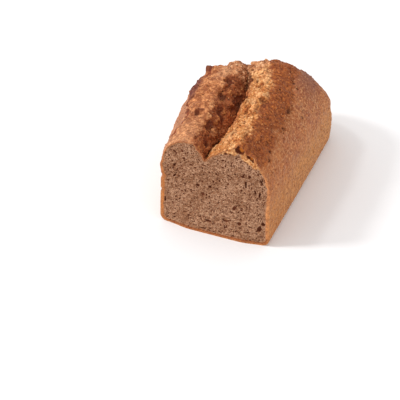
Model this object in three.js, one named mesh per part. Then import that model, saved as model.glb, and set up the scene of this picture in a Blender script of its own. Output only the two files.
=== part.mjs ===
// A spelt loaf, baked in a tin and split along its top into two lobes, with some slices cut away.
// Millimetres. X runs across the loaf, Y along it and Z up. The cut face looks to -Y, the baked
// end to +Y, and the origin is the middle of the flat base.
import * as THREE from 'three';

// Driving sizes
const loafLength = 180;
const halfLength = loafLength / 2;
const footRadius = 7;          // round edge between the base and the sides
const endSkew = 22;            // how far the left lobe stops short of the right one at the baked end
const endRadiusSide = 23;      // rounding of the baked end low on the sides
const endRadiusRight = 44;     // the same at the top of the right lobe
const endRadiusLeft = 32;      // and at the top of the left lobe
const endMiddleHeight = 34;    // the baked end closes around a point at this height
const endInsetShare = 0.62;    // the most that the rounding closes in on that point
const endCrown = 1.5;          // how far the middle of the baked end swells

// Mesh counts
const alongSteps = 40;
const roundingSteps = 9;
const capRings = 3;
const sideSteps = 19;
const rightTopSteps = 27;
const leftTopSteps = 23;
const faceColumns = rightTopSteps + leftTopSteps;
const samplesPerStretch = 60;
const shoulderShare = 0.5;     // the share of each outer curve that counts as its side

// Gauges of the section. Each is a smooth rail of [share of the length, value] pairs, where the
// share runs from 0 at the cut face to 1 at the baked end.
const gauges = {
  footRight: [[0, 51], [0.5, 51.5], [1, 51]],
  footLeft: [[0, 50.5], [0.5, 51.5], [1, 51]],
  wallRight: [[0, 50.8], [0.5, 52.5], [1, 51.5]],
  wallLeft: [[0, 49.5], [0.15, 53], [0.35, 57.5], [0.6, 59.5], [0.8, 58], [1, 53]],
  shoulderRight: [[0, 55], [0.5, 56], [0.8, 50], [1, 42]],
  shoulderLeft: [[0, 58], [0.3, 64], [0.6, 64], [0.8, 56], [1, 44]],
  crestRightX: [[0, 18], [0.5, 13], [0.8, 4], [1, -4]],
  crestRightZ: [[0, 99.5], [0.3, 101], [0.6, 98.5], [0.8, 91], [1, 74]],
  crestLeftX: [[0, -24], [0.35, -27], [0.7, -35], [1, -34]],
  crestLeftZ: [[0, 92.7], [0.3, 94.5], [0.5, 92], [0.7, 84.5], [0.85, 77], [1, 64]],
  splitX: [[0, -9.5], [0.5, -9.5], [0.75, -19], [1, -22]],
  splitZ: [[0, 76], [0.3, 69], [0.55, 70], [0.75, 75], [1, 63]],
  innerFullness: [[0, 1.35], [0.2, 1.9], [1, 1.9]],
  ledgeX: [[0, 36], [0.2, 40], [0.4, 42], [0.55, 38], [0.66, 30], [1, 20]],
  bandX: [[0, 18], [0.15, 21], [0.3, 17], [0.5, 15.5], [0.63, 7], [0.78, -6], [1, -12]],
};
const outerRightFullness = 1.8;
const outerLeftFullness = 2.1;
const innerLeftFullness = 1.6;

const smooth = (t) => {
  const u = Math.min(Math.max(t, 0), 1);
  return u * u * (3 - 2 * u);
};
const mix = (a, b, t) => a + (b - a) * t;

// The value of a rail at one place, with slopes taken from the neighbouring keys
const railSlope = (keys, i) => {
  const before = keys[Math.max(i - 1, 0)];
  const after = keys[Math.min(i + 1, keys.length - 1)];
  return (after[1] - before[1]) / (after[0] - before[0]);
};
const rail = (keys, s) => {
  let i = 0;
  while (i < keys.length - 2 && s >= keys[i + 1][0]) i += 1;
  const [s0, v0] = keys[i];
  const [s1, v1] = keys[i + 1];
  const span = s1 - s0;
  const t = Math.min(Math.max((s - s0) / span, 0), 1);
  const t2 = t * t;
  const t3 = t2 * t;
  return (2 * t3 - 3 * t2 + 1) * v0 + (t3 - 2 * t2 + t) * span * railSlope(keys, i)
    + (3 * t2 - 2 * t3) * v1 + (t3 - t2) * span * railSlope(keys, i + 1);
};

// A quarter of a superellipse: a share of width and height at angle share t, from the side to the top
const quarter = (t, fullness) => {
  const angle = t * Math.PI / 2;
  return [Math.max(Math.cos(angle), 0) ** (2 / fullness), Math.max(Math.sin(angle), 0) ** (2 / fullness)];
};

// The eight stretches of the section, from the right foot over the top to the left foot
const stretches = [
  (t, g) => [g('footRight') - footRadius + footRadius * Math.sin(t * Math.PI / 2),
    footRadius - footRadius * Math.cos(t * Math.PI / 2)],
  (t, g) => [mix(g('footRight'), g('wallRight'), smooth(t)), mix(footRadius, g('shoulderRight'), t)],
  (t, g) => {
    const [wide, high] = quarter(t, outerRightFullness);
    return [mix(g('crestRightX'), g('wallRight'), wide), mix(g('shoulderRight'), g('crestRightZ'), high)];
  },
  (t, g) => {
    const [high, wide] = quarter(t, g('innerFullness'));
    return [mix(g('crestRightX'), g('splitX'), wide), mix(g('splitZ'), g('crestRightZ'), high)];
  },
  (t, g) => {
    const [wide, high] = quarter(t, innerLeftFullness);
    return [mix(g('crestLeftX'), g('splitX'), wide), mix(g('splitZ'), g('crestLeftZ'), high)];
  },
  (t, g) => {
    const [high, wide] = quarter(t, outerLeftFullness);
    return [mix(g('crestLeftX'), -g('wallLeft'), wide), mix(g('shoulderLeft'), g('crestLeftZ'), high)];
  },
  (t, g) => [-mix(g('wallLeft'), g('footLeft'), smooth(t)), mix(g('shoulderLeft'), footRadius, t)],
  (t, g) => [-g('footLeft') + footRadius - footRadius * Math.cos(t * Math.PI / 2),
    footRadius - footRadius * Math.sin(t * Math.PI / 2)],
];
const rightTopStretch = 2;
const innerLeftStretch = 4;
const leftTopStretch = 5;

// A point of the section: ring is the stretch number plus the share along that stretch
const sectionPoint = (ring, s) => {
  const index = Math.min(Math.floor(ring), stretches.length - 1);
  return stretches[index](ring - index, (name) => rail(gauges[name], s));
};

// Ring values spaced evenly in length between two places of the section
const spreadEvenly = (from, to, steps) => {
  const evenAt = 0.3;
  const samples = Math.ceil((to - from) * samplesPerStretch);
  const rings = Array.from({ length: samples + 1 }, (_, i) => mix(from, to, i / samples));
  const points = rings.map((ring) => sectionPoint(ring, evenAt));
  const reach = [0];
  for (let i = 1; i <= samples; i += 1) {
    const [x0, z0] = points[i - 1];
    reach.push(reach[i - 1] + Math.hypot(points[i][0] - x0, points[i][1] - z0));
  }
  const spread = [];
  for (let k = 0, i = 0; k < steps; k += 1) {
    const wanted = reach[samples] * k / steps;
    while (reach[i + 1] < wanted) i += 1;
    spread.push(mix(rings[i], rings[i + 1], (wanted - reach[i]) / (reach[i + 1] - reach[i])));
  }
  return spread;
};
const rings = [
  ...spreadEvenly(0, rightTopStretch + shoulderShare, sideSteps),
  ...spreadEvenly(rightTopStretch + shoulderShare, innerLeftStretch, rightTopSteps),
  ...spreadEvenly(innerLeftStretch, leftTopStretch + 1 - shoulderShare, leftTopSteps),
  ...spreadEvenly(leftTopStretch + 1 - shoulderShare, stretches.length, sideSteps),
  stretches.length,
];
const ringCount = rings.length;

// The baked end: its face runs askew, and each line along the loaf meets it with its own rounding
const endFace = (x) => halfLength - endSkew * smooth((10 - x) / 54);
const endPlace = (ring) => {
  const [x, z] = sectionPoint(ring, 0.8);
  const top = smooth((z - 25) / 60);
  const left = smooth((-x - 5) / 50);
  const radius = mix(endRadiusSide, mix(endRadiusRight, endRadiusLeft, left), top);
  const reach = Math.hypot(x, z - endMiddleHeight);
  const inset = Math.min(radius, endInsetShare * reach);
  return { y: endFace(x * (1 - inset / reach)), radius, inset };
};

// A point of the smooth loaf. Row 0 is the cut face's edge, and the last rows round the baked end.
const smoothPoint = (ring, row) => {
  const end = endPlace(ring);
  const straight = end.y - end.radius + halfLength;
  let y = -halfLength + straight * Math.min(row / alongSteps, 1);
  let inset = 0;
  if (row > alongSteps) {
    const angle = (row - alongSteps) / roundingSteps * Math.PI / 2;
    y += end.radius * Math.sin(angle);
    inset = end.inset * (1 - Math.cos(angle));
  }
  const [x, z] = sectionPoint(ring, (y + halfLength) / loafLength);
  const keep = 1 - inset / Math.hypot(x, z - endMiddleHeight);
  return new THREE.Vector3(x * keep, y, mix(endMiddleHeight, z, keep));
};

// Fixed pseudo-random numbers on a whole-number grid, and a smooth noise from -1 to 1 between them
const latticeMix = [12.9898, 78.233, 37.719];
const latticeStretch = 43758.5453;
const lattice = (i, j, k) => {
  const value = Math.sin(i * latticeMix[0] + j * latticeMix[1] + k * latticeMix[2]) * latticeStretch;
  return value - Math.floor(value);
};
const noise = (x, y, z) => {
  const [i, j, k] = [Math.floor(x), Math.floor(y), Math.floor(z)];
  const [u, v, w] = [smooth(x - i), smooth(y - j), smooth(z - k)];
  const edge = (dj, dk) => mix(lattice(i, j + dj, k + dk), lattice(i + 1, j + dj, k + dk), u);
  return 2 * mix(mix(edge(0, 0), edge(1, 0), v), mix(edge(0, 1), edge(1, 1), v), w) - 1;
};
const lumps = (p, size, shift = 0) => noise(p.x / size + shift, p.y / size + shift, p.z / size + shift);

// Hollows that show in the crust: middle, reach along the loaf and across it, and depth
const hollows = [
  { at: [-32, -51, 93], along: 3.4, across: 5.4, depth: 2.6 },
  { at: [-25, 8, 88], along: 3.6, across: 4.4, depth: 4.2 },
  { at: [-21, -14, 90], along: 6.0, across: 4.0, depth: 2.6 },
  { at: [-47, 14, 85], along: 3.4, across: 3.4, depth: 2.4 },
  { at: [24, -88, 98], along: 3.2, across: 3.0, depth: 1.8 },
  { at: [39, -8, 87], along: 3.6, across: 2.4, depth: 1.6 },
];
const lumpSizes = { broad: 22, wide: 11, fine: 6.5 };

// How far the crust stands out from the smooth loaf at a point
const crustRelief = (ring, p) => {
  const s = (p.y + halfLength) / loafLength;
  const ledge = rail(gauges.ledgeX, s);
  const band = rail(gauges.bandX, s);
  const insideLedge = smooth((ledge + 1 - p.x) / 3) * smooth((p.z - 60) / 15);
  const onRight = ring < innerLeftStretch ? 1 : 0;
  const inBand = onRight * smooth((band + 1 - p.x) / 3.5);
  const wall = smooth(1 - Math.abs(ring - innerLeftStretch) / 0.95);
  const torn = Math.max(inBand, wall, 0.45 * insideLedge * onRight);
  const plateau = (1 - onRight) * smooth((p.z - 68) / 14);
  const rough = mix(0.35 + 0.25 * plateau, 1.25, torn);
  let out = 0.9 * lumps(p, lumpSizes.broad) + rough * lumps(p, lumpSizes.wide, 3.7)
    + 0.75 * rough * lumps(p, lumpSizes.fine, 9.1);
  out += 1.5 * inBand * smooth((p.z - 76) / 10);
  out *= mix(0.3, 1, smooth(s / 0.1));
  out -= 1.3 * insideLedge * onRight * (1 - inBand) * smooth(1 - (ledge - p.x) / 26);
  const lip = smooth(1 - Math.abs(ring - leftTopStretch - 0.52) / 0.16) * smooth((s - 0.3) / 0.2);
  out += 1.3 * lip;
  const crag = smooth(1 - Math.hypot((p.x + 27) / 12, (p.y - 38) / 14));
  out += crag * (2.2 + 3 * lumps(p, 5, 2.3));
  for (const { at, along, across, depth } of hollows) {
    const away = Math.hypot((p.x - at[0]) / across, (p.y - at[1]) / along, (p.z - at[2]) / (across + 3));
    out -= depth * smooth(1.35 - away);
  }
  return out;
};

// The crust as a grid of points, one row for each step along the loaf
const rowCount = alongSteps + roundingSteps + 1;
const smoothRows = Array.from({ length: rowCount }, (_, row) => rings.map((ring) => smoothPoint(ring, row)));
const gridNormal = (row, column) => {
  const rowAt = (k) => smoothRows[Math.min(Math.max(k, 0), rowCount - 1)];
  const columnAt = (k) => Math.min(Math.max(k, 0), ringCount - 1);
  const across = rowAt(row)[columnAt(column + 1)].clone().sub(rowAt(row)[columnAt(column - 1)]);
  const along = rowAt(row + 1)[column].clone().sub(rowAt(row - 1)[column]);
  const normal = along.cross(across);
  if (row === 0) normal.y = 0;
  return normal.normalize();
};
const baseFade = 14;           // the relief dies away towards the flat base
const reliefPoint = (point, row, column) => {
  const fade = smooth(point.z / baseFade);
  return point.clone().addScaledVector(gridNormal(row, column), fade * crustRelief(rings[column], point));
};

const positions = [];
const triangles = [];
const addPoint = (point) => positions.push(point.x, point.y, point.z) / 3 - 1;
const addTriangle = (a, b, c) => triangles.push(a, b, c);
const addQuad = (a, b, c, d) => {
  addTriangle(a, b, c);
  addTriangle(a, c, d);
};

// Crust and flat base
const crustRows = smoothRows.map((points, row) => points.map((point, column) => (
  addPoint(reliefPoint(point, row, column)))));
for (let row = 0; row < rowCount - 1; row += 1) {
  for (let column = 0; column < ringCount - 1; column += 1) {
    addQuad(crustRows[row + 1][column], crustRows[row + 1][column + 1],
      crustRows[row][column + 1], crustRows[row][column]);
  }
}
const baseEdge = [];           // points of the cut face's lower edge, from left to right
const lastRing = ringCount - 1;
for (let k = 0; k <= faceColumns; k += 1) {
  if (k === 0) baseEdge.push(crustRows[0][lastRing]);
  else if (k === faceColumns) baseEdge.push(crustRows[0][0]);
  else {
    const left = smoothRows[0][lastRing];
    baseEdge.push(addPoint(left.clone().lerp(smoothRows[0][0], k / faceColumns)));
  }
}
const baseMiddle = Math.floor(faceColumns / 2);
for (let k = 0; k < faceColumns; k += 1) {
  addTriangle(baseEdge[k], k < baseMiddle ? crustRows[1][lastRing] : crustRows[1][0], baseEdge[k + 1]);
}
addTriangle(baseEdge[baseMiddle], crustRows[1][lastRing], crustRows[1][0]);
for (let row = 1; row < rowCount - 1; row += 1) {
  addQuad(crustRows[row][0], crustRows[row][lastRing], crustRows[row + 1][lastRing], crustRows[row + 1][0]);
}

// Baked end, closed by shrinking rings around its middle
const endMiddle = new THREE.Vector3(0, 0, endMiddleHeight);
const pointAt = (index) => new THREE.Vector3().fromArray(positions, index * 3);
let outerRing = crustRows[rowCount - 1];
const endRing = outerRing.map(pointAt);
for (let k = 1; k < capRings; k += 1) {
  const share = 1 - k / capRings;
  const innerRing = endRing.map((point) => {
    const inner = endMiddle.clone().lerp(point, share);
    inner.y = endFace(inner.x) + endCrown * (1 - share * share);
    return addPoint(inner);
  });
  for (let i = 0; i < ringCount; i += 1) {
    const next = (i + 1) % ringCount;
    addQuad(innerRing[i], innerRing[next], outerRing[next], outerRing[i]);
  }
  outerRing = innerRing;
}
const endPoint = addPoint(endMiddle.clone().setY(endFace(endMiddle.x) + endCrown));
for (let i = 0; i < ringCount; i += 1) addTriangle(endPoint, outerRing[(i + 1) % ringCount], outerRing[i]);

// Cut face: a grid blended between its four edges, with the largest pores of the crumb as pits
const poreShare = 0.08;
const poreDepth = [0.9, 2.2];
const crumbPit = (i, j) => (
  lattice(i, j, 5) < poreShare ? mix(poreDepth[0], poreDepth[1], lattice(i, j, 8)) : 0);
const rightEdge = crustRows[0].slice(0, sideSteps + 1);
const topEdge = crustRows[0].slice(sideSteps, sideSteps + faceColumns + 1).reverse();
const leftEdge = crustRows[0].slice(sideSteps + faceColumns).reverse();
const facePoint = (i, j) => {
  const [u, v] = [i / faceColumns, j / sideSteps];
  const bottomTop = pointAt(baseEdge[i]).lerp(pointAt(topEdge[i]), v);
  const leftRight = pointAt(leftEdge[j]).lerp(pointAt(rightEdge[j]), u);
  const bottom = pointAt(baseEdge[0]).lerp(pointAt(baseEdge[faceColumns]), u);
  const top = pointAt(topEdge[0]).lerp(pointAt(topEdge[faceColumns]), u);
  return bottomTop.add(leftRight).sub(bottom.lerp(top, v));
};
const faceGrid = [];
for (let j = 0; j <= sideSteps; j += 1) {
  const line = [];
  for (let i = 0; i <= faceColumns; i += 1) {
    if (j === 0) line.push(baseEdge[i]);
    else if (j === sideSteps) line.push(topEdge[i]);
    else if (i === 0) line.push(leftEdge[j]);
    else if (i === faceColumns) line.push(rightEdge[j]);
    else {
      const point = facePoint(i, j);
      const nearEdge = i < 2 || j < 2 || i > faceColumns - 2 || j > sideSteps - 2;
      point.y = -halfLength + (nearEdge ? 0 : crumbPit(i, j));
      line.push(addPoint(point));
    }
  }
  faceGrid.push(line);
}
for (let j = 0; j < sideSteps; j += 1) {
  for (let i = 0; i < faceColumns; i += 1) {
    addQuad(faceGrid[j][i], faceGrid[j][i + 1], faceGrid[j + 1][i + 1], faceGrid[j + 1][i]);
  }
}

const geometry = new THREE.BufferGeometry();
geometry.setAttribute('position', new THREE.Float32BufferAttribute(positions, 3));
geometry.setIndex(triangles);
geometry.computeVertexNormals();

const bakedBread = new THREE.MeshStandardMaterial({ color: 0xb0734d, roughness: 0.85, metalness: 0 });
const loaf = new THREE.Mesh(geometry, bakedBread);
loaf.name = 'spelt_loaf';

const speltBread = new THREE.Group();
speltBread.add(loaf);

export default speltBread;
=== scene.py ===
import math

import bpy
import numpy as np
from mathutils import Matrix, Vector


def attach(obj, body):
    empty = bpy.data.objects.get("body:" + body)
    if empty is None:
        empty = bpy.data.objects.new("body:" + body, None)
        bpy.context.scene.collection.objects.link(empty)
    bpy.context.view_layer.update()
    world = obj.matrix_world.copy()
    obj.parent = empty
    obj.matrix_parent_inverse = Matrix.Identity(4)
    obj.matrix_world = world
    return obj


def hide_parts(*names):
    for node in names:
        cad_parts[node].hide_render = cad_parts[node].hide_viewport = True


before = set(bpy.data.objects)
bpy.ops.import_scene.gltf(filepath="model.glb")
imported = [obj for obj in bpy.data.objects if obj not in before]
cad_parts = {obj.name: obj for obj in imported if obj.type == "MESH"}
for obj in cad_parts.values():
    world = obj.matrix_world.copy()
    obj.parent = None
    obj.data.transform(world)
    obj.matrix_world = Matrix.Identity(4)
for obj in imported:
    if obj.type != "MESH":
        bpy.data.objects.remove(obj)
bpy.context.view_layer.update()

# A cut spelt loaf: a baked crust in two lobes and the crumb that shows at its cut face.
# Sizes in the dictionaries are millimetres unless a name says otherwise.
mm = 0.001

cameraSettings = {
    "azimuth": 21.813,
    "elevation": 39.023,
    "distance": 1800.0,
    "lookAt": (-28.18, -52.26, 0.0),
    "lens": 182.2,
    "sensor": 36.0,
}


def makeCamera(settings):
    turn, tilt = math.radians(settings["azimuth"]), math.radians(settings["elevation"])
    back = Vector((math.sin(turn) * math.cos(tilt), -math.cos(turn) * math.cos(tilt), math.sin(tilt)))
    data = bpy.data.cameras.new("camera")
    data.lens = settings["lens"]
    data.sensor_width = settings["sensor"]
    data.clip_end = 50.0
    camera = bpy.data.objects.new("camera", data)
    camera.location = (Vector(settings["lookAt"]) + back * settings["distance"]) * mm
    camera.rotation_mode = "QUATERNION"
    camera.rotation_quaternion = (-back).to_track_quat("-Z", "Y")
    bpy.context.scene.collection.objects.link(camera)
    bpy.context.scene.camera = camera


makeCamera(cameraSettings)
print("camera ready")


def smooth(t):
    u = np.clip(t, 0.0, 1.0)
    return u * u * (3 - 2 * u)


def blend(a, b, t):
    return a + (b - a) * t


def rail(keys, s):
    # a smooth curve through a few (share of the length, value) keys
    places = np.array([key[0] for key in keys], float)
    values = np.array([key[1] for key in keys], float)
    before = np.maximum(np.arange(len(keys)) - 1, 0)
    after = np.minimum(np.arange(len(keys)) + 1, len(keys) - 1)
    slopes = (values[after] - values[before]) / (places[after] - places[before])
    i = np.clip(np.searchsorted(places, s, side="right") - 1, 0, len(keys) - 2)
    span = places[i + 1] - places[i]
    t = np.clip((s - places[i]) / span, 0, 1)
    t2, t3 = t * t, t * t * t
    return ((2 * t3 - 3 * t2 + 1) * values[i] + (t3 - 2 * t2 + t) * span * slopes[i]
            + (3 * t2 - 2 * t3) * values[i + 1] + (t3 - t2) * span * slopes[i + 1])


loafSize = {
    "length": 180.0,
    "footRadius": 7.0,
    "endSkew": 22.0,
    "endRadiusSide": 23.0,
    "endRadiusRight": 44.0,
    "endRadiusLeft": 32.0,
    "endMiddleHeight": 34.0,
    "endInsetShare": 0.62,
    "endCrown": 1.5,
    "outerRightFullness": 1.8,
    "outerLeftFullness": 2.1,
    "innerLeftFullness": 1.6,
    "baseFade": 14.0,
}
gauges = {
    "footRight": [(0, 51), (0.5, 51.5), (1, 51)],
    "footLeft": [(0, 50.5), (0.5, 51.5), (1, 51)],
    "wallRight": [(0, 50.8), (0.5, 52.5), (1, 51.5)],
    "wallLeft": [(0, 49.5), (0.15, 53), (0.35, 57.5), (0.6, 59.5), (0.8, 58), (1, 53)],
    "shoulderRight": [(0, 55), (0.5, 56), (0.8, 50), (1, 42)],
    "shoulderLeft": [(0, 58), (0.3, 64), (0.6, 64), (0.8, 56), (1, 44)],
    "crestRightX": [(0, 18), (0.5, 13), (0.8, 4), (1, -4)],
    "crestRightZ": [(0, 99.5), (0.3, 101), (0.6, 98.5), (0.8, 91), (1, 74)],
    "crestLeftX": [(0, -24), (0.35, -27), (0.7, -35), (1, -34)],
    "crestLeftZ": [(0, 92.7), (0.3, 94.5), (0.5, 92), (0.7, 84.5), (0.85, 77), (1, 64)],
    "splitX": [(0, -9.5), (0.5, -9.5), (0.75, -19), (1, -22)],
    "splitZ": [(0, 76), (0.3, 69), (0.55, 70), (0.75, 75), (1, 63)],
    "innerFullness": [(0, 1.35), (0.2, 1.9), (1, 1.9)],
    "ledgeX": [(0, 36), (0.2, 40), (0.4, 42), (0.55, 38), (0.66, 30), (1, 20)],
    "bandX": [(0, 18), (0.15, 21), (0.3, 17), (0.5, 15.5), (0.63, 7), (0.78, -6), (1, -12)],
}
rightTop, innerLeft, leftTop, stretchCount = 2, 4, 5, 8   # stretches of the section that are named below
halfLength = loafSize["length"] / 2


def quarter(t, fullness):
    angle = t * math.pi / 2
    return (np.maximum(np.cos(angle), 0) ** (2 / fullness), np.maximum(np.sin(angle), 0) ** (2 / fullness))


def stretchPoint(index, t, g):
    foot = loafSize["footRadius"]
    turn = t * math.pi / 2
    if index == 0:
        return g("footRight") - foot + foot * np.sin(turn), foot - foot * np.cos(turn)
    if index == 1:
        return blend(g("footRight"), g("wallRight"), smooth(t)), blend(foot, g("shoulderRight"), t)
    if index == 2:
        wide, high = quarter(t, loafSize["outerRightFullness"])
        return blend(g("crestRightX"), g("wallRight"), wide), blend(g("shoulderRight"), g("crestRightZ"), high)
    if index == 3:
        high, wide = quarter(t, g("innerFullness"))
        return blend(g("crestRightX"), g("splitX"), wide), blend(g("splitZ"), g("crestRightZ"), high)
    if index == 4:
        wide, high = quarter(t, loafSize["innerLeftFullness"])
        return blend(g("crestLeftX"), g("splitX"), wide), blend(g("splitZ"), g("crestLeftZ"), high)
    if index == 5:
        high, wide = quarter(t, loafSize["outerLeftFullness"])
        return blend(g("crestLeftX"), -g("wallLeft"), wide), blend(g("shoulderLeft"), g("crestLeftZ"), high)
    if index == 6:
        return -blend(g("wallLeft"), g("footLeft"), smooth(t)), blend(g("shoulderLeft"), foot, t)
    return -g("footLeft") + foot - foot * np.cos(turn), foot - foot * np.sin(turn)


def sectionPoint(ring, s):
    # ring is the stretch number plus the share along that stretch, from the right foot to the left
    ring, s = np.broadcast_arrays(np.asarray(ring, float), np.asarray(s, float))
    x, z = np.zeros(ring.shape), np.zeros(ring.shape)
    index = np.minimum(np.floor(ring).astype(int), stretchCount - 1)
    for k in range(stretchCount):
        here = index == k
        if here.any():
            place = s[here]
            x[here], z[here] = stretchPoint(k, ring[here] - k, lambda name: rail(gauges[name], place))
    return x, z


def spreadEvenly(start, end, steps, evenAt=0.3):
    samples = int((end - start) * 200)
    rings = np.linspace(start, end, samples + 1)
    x, z = sectionPoint(rings, evenAt)
    reach = np.concatenate([[0], np.cumsum(np.hypot(np.diff(x), np.diff(z)))])
    return np.interp(reach[-1] * np.arange(steps) / steps, reach, rings)


def endFace(x):
    return halfLength - loafSize["endSkew"] * smooth((10 - x) / 54)


def endPlace(ring):
    x, z = sectionPoint(ring, 0.8)
    top = smooth((z - 25) / 60)
    left = smooth((-x - 5) / 50)
    topRadius = blend(loafSize["endRadiusRight"], loafSize["endRadiusLeft"], left)
    radius = blend(loafSize["endRadiusSide"], topRadius, top)
    reach = np.hypot(x, z - loafSize["endMiddleHeight"])
    inset = np.minimum(radius, loafSize["endInsetShare"] * reach)
    return endFace(x * (1 - inset / reach)), radius, inset


def smoothLoaf(rings, along, rounding):
    # rows of the loaf before its relief, from the cut face to the end of the rounding
    endY, radius, insetMost = endPlace(rings)
    share = np.minimum(np.arange(along + rounding + 1) / along, 1)[:, None]
    angle = np.maximum(np.arange(along + rounding + 1) - along, 0)[:, None] / rounding * math.pi / 2
    y = -halfLength + (endY - radius + halfLength) * share + radius * np.sin(angle)
    inset = insetMost * (1 - np.cos(angle))
    x, z = sectionPoint(np.broadcast_to(rings, y.shape), (y + halfLength) / loafSize["length"])
    middle = loafSize["endMiddleHeight"]
    keep = 1 - inset / np.hypot(x, z - middle)
    return np.stack([x * keep, y, blend(middle, z, keep)], axis=-1)


latticeMix = (12.9898, 78.233, 37.719)
latticeStretch = 43758.5453


def lattice(i, j, k):
    value = np.sin(i * latticeMix[0] + j * latticeMix[1] + k * latticeMix[2]) * latticeStretch
    return value - np.floor(value)


def lumps(points, size, shift=0.0):
    # smooth noise from -1 to 1, the same as in the solid
    place = points / size + shift
    cell = np.floor(place)
    u, v, w = np.moveaxis(smooth(place - cell), -1, 0)
    i, j, k = np.moveaxis(cell, -1, 0)

    def edge(dj, dk):
        return blend(lattice(i, j + dj, k + dk), lattice(i + 1, j + dj, k + dk), u)

    return 2 * blend(blend(edge(0, 0), edge(1, 0), v), blend(edge(0, 1), edge(1, 1), v), w) - 1


hollows = [
    {"at": (-32, -51, 93), "along": 3.4, "across": 5.4, "depth": 2.6},
    {"at": (-25, 8, 88), "along": 3.6, "across": 4.4, "depth": 4.2},
    {"at": (-21, -14, 90), "along": 6.0, "across": 4.0, "depth": 2.6},
    {"at": (-47, 14, 85), "along": 3.4, "across": 3.4, "depth": 2.4},
    {"at": (24, -88, 98), "along": 3.2, "across": 3.0, "depth": 1.8},
    {"at": (39, -8, 87), "along": 3.6, "across": 2.4, "depth": 1.6},
]


def crustZones(ring, points):
    # where the loaf is torn, smooth, walled by the split or darkly baked, each from 0 to 1
    x, y, z = np.moveaxis(points, -1, 0)
    s = (y + halfLength) / loafSize["length"]
    ledge, band = rail(gauges["ledgeX"], s), rail(gauges["bandX"], s)
    onRight = (ring < innerLeft) * 1.0
    insideLedge = smooth((ledge + 1 - x) / 3) * smooth((z - 60) / 15)
    inBand = onRight * smooth((band + 1 - x) / 3.5)
    wall = smooth(1 - np.abs(ring - innerLeft) / 0.95)
    torn = np.maximum(np.maximum(inBand, wall), 0.45 * insideLedge * onRight)
    plateau = (1 - onRight) * smooth((z - 68) / 14)
    lip = smooth(1 - np.abs(ring - leftTop - 0.52) / 0.16) * smooth((s - 0.3) / 0.2)
    hollow = np.zeros(x.shape)
    depth = np.zeros(x.shape)
    for each in hollows:
        away = np.sqrt(((x - each["at"][0]) / each["across"]) ** 2 + ((y - each["at"][1]) / each["along"]) ** 2
                       + ((z - each["at"][2]) / (each["across"] + 3)) ** 2)
        inside = smooth(1.35 - away)
        hollow = np.maximum(hollow, inside)
        depth += each["depth"] * inside
    return {"s": s, "ledge": ledge, "band": band, "onRight": onRight, "insideLedge": insideLedge,
            "inBand": inBand, "torn": torn, "plateau": plateau, "lip": lip,
            "hollow": hollow, "hollowDepth": depth}


def crustRelief(ring, points):
    zone = crustZones(ring, points)
    x, y, z = np.moveaxis(points, -1, 0)
    rough = blend(0.35 + 0.25 * zone["plateau"], 1.25, zone["torn"])
    out = (0.9 * lumps(points, 22.0) + rough * lumps(points, 11.0, 3.7)
           + 0.75 * rough * lumps(points, 6.5, 9.1))
    out += 1.5 * zone["inBand"] * smooth((z - 76) / 10)
    out *= blend(0.3, 1, smooth(zone["s"] / 0.1))
    out -= (1.3 * zone["insideLedge"] * zone["onRight"] * (1 - zone["inBand"])
            * smooth(1 - (zone["ledge"] - x) / 26))
    out += 1.3 * zone["lip"]
    crag = smooth(1 - np.hypot((x + 27) / 12, (y - 38) / 14))
    out += crag * (2.2 + 3 * lumps(points, 5.0, 2.3))
    return out - zone["hollowDepth"], zone


def gridNormals(points):
    across = np.empty_like(points)
    across[:, 1:-1] = points[:, 2:] - points[:, :-2]
    across[:, 0], across[:, -1] = points[:, 1] - points[:, 0], points[:, -1] - points[:, -2]
    along = np.empty_like(points)
    along[1:-1] = points[2:] - points[:-2]
    along[0], along[-1] = points[1] - points[0], points[-1] - points[-2]
    normals = np.cross(along, across)
    normals[0, :, 1] = 0
    return normals / np.maximum(np.linalg.norm(normals, axis=-1, keepdims=True), 1e-9)


def meshObject(name, points, faces, attributes):
    data = bpy.data.meshes.new(name)
    data.from_pydata((points * mm).tolist(), [], faces)
    data.update()
    for label, values in attributes.items():
        layer = data.attributes.new(label, "FLOAT", "POINT")
        layer.data.foreach_set("value", np.asarray(values, np.float32))
    data.polygons.foreach_set("use_smooth", np.ones(len(data.polygons), bool))
    made = bpy.data.objects.new(name, data)
    bpy.context.scene.collection.objects.link(made)
    return made


def gridFaces(index, closed):
    # quads between the rows of a table of vertex numbers, turned so that they face outwards
    right = np.roll(index, -1, axis=1) if closed else index[:, 1:]
    left = index if closed else index[:, :-1]
    return np.stack([left[1:], right[1:], right[:-1], left[:-1]], axis=-1).reshape(-1, 4).tolist()


def fanFaces(loop, middle):
    return [(middle, loop[(k + 1) % len(loop)], loop[k]) for k in range(len(loop))]


faceBow = {
    # how far the foot of the cut face stands forward, and where that fades out
    "reach": 3.4,
    "middle": 2.0,
    "width": 48.0,
    "fadeWidth": 26.0,
    "height": 26.0,
    "back": 16.0,
}


def bowFace(points):
    x, y, z = np.moveaxis(points, -1, 0)
    share = smooth((faceBow["width"] - np.abs(x - faceBow["middle"])) / faceBow["fadeWidth"])
    share = share * smooth(1 - z / faceBow["height"]) * smooth((faceBow["back"] - halfLength - y) / faceBow["back"])
    return np.stack([x, y - faceBow["reach"] * share, z], axis=-1)


crustPiece = {
    "sideColumns": 74,
    "rightTopColumns": 190,
    "leftTopColumns": 172,
    "baseColumns": 24,
    "dividerColumns": 3,
    "alongRows": 214,
    "roundingRows": 72,
    "endRings": 8,
    "faceRings": 4,
    "rimThickness": 1.2,
    "rimLow": 3.0,
    "rimSpread": 0.8,
    "rimAtSplit": 0.8,
    "faceDepth": 3.2,        # how far the crust's tube runs in front of its closed inside
    "dividerGap": 0.1,       # how far the divider starts behind that inside
}
faceMiddle = 42.0


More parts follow.
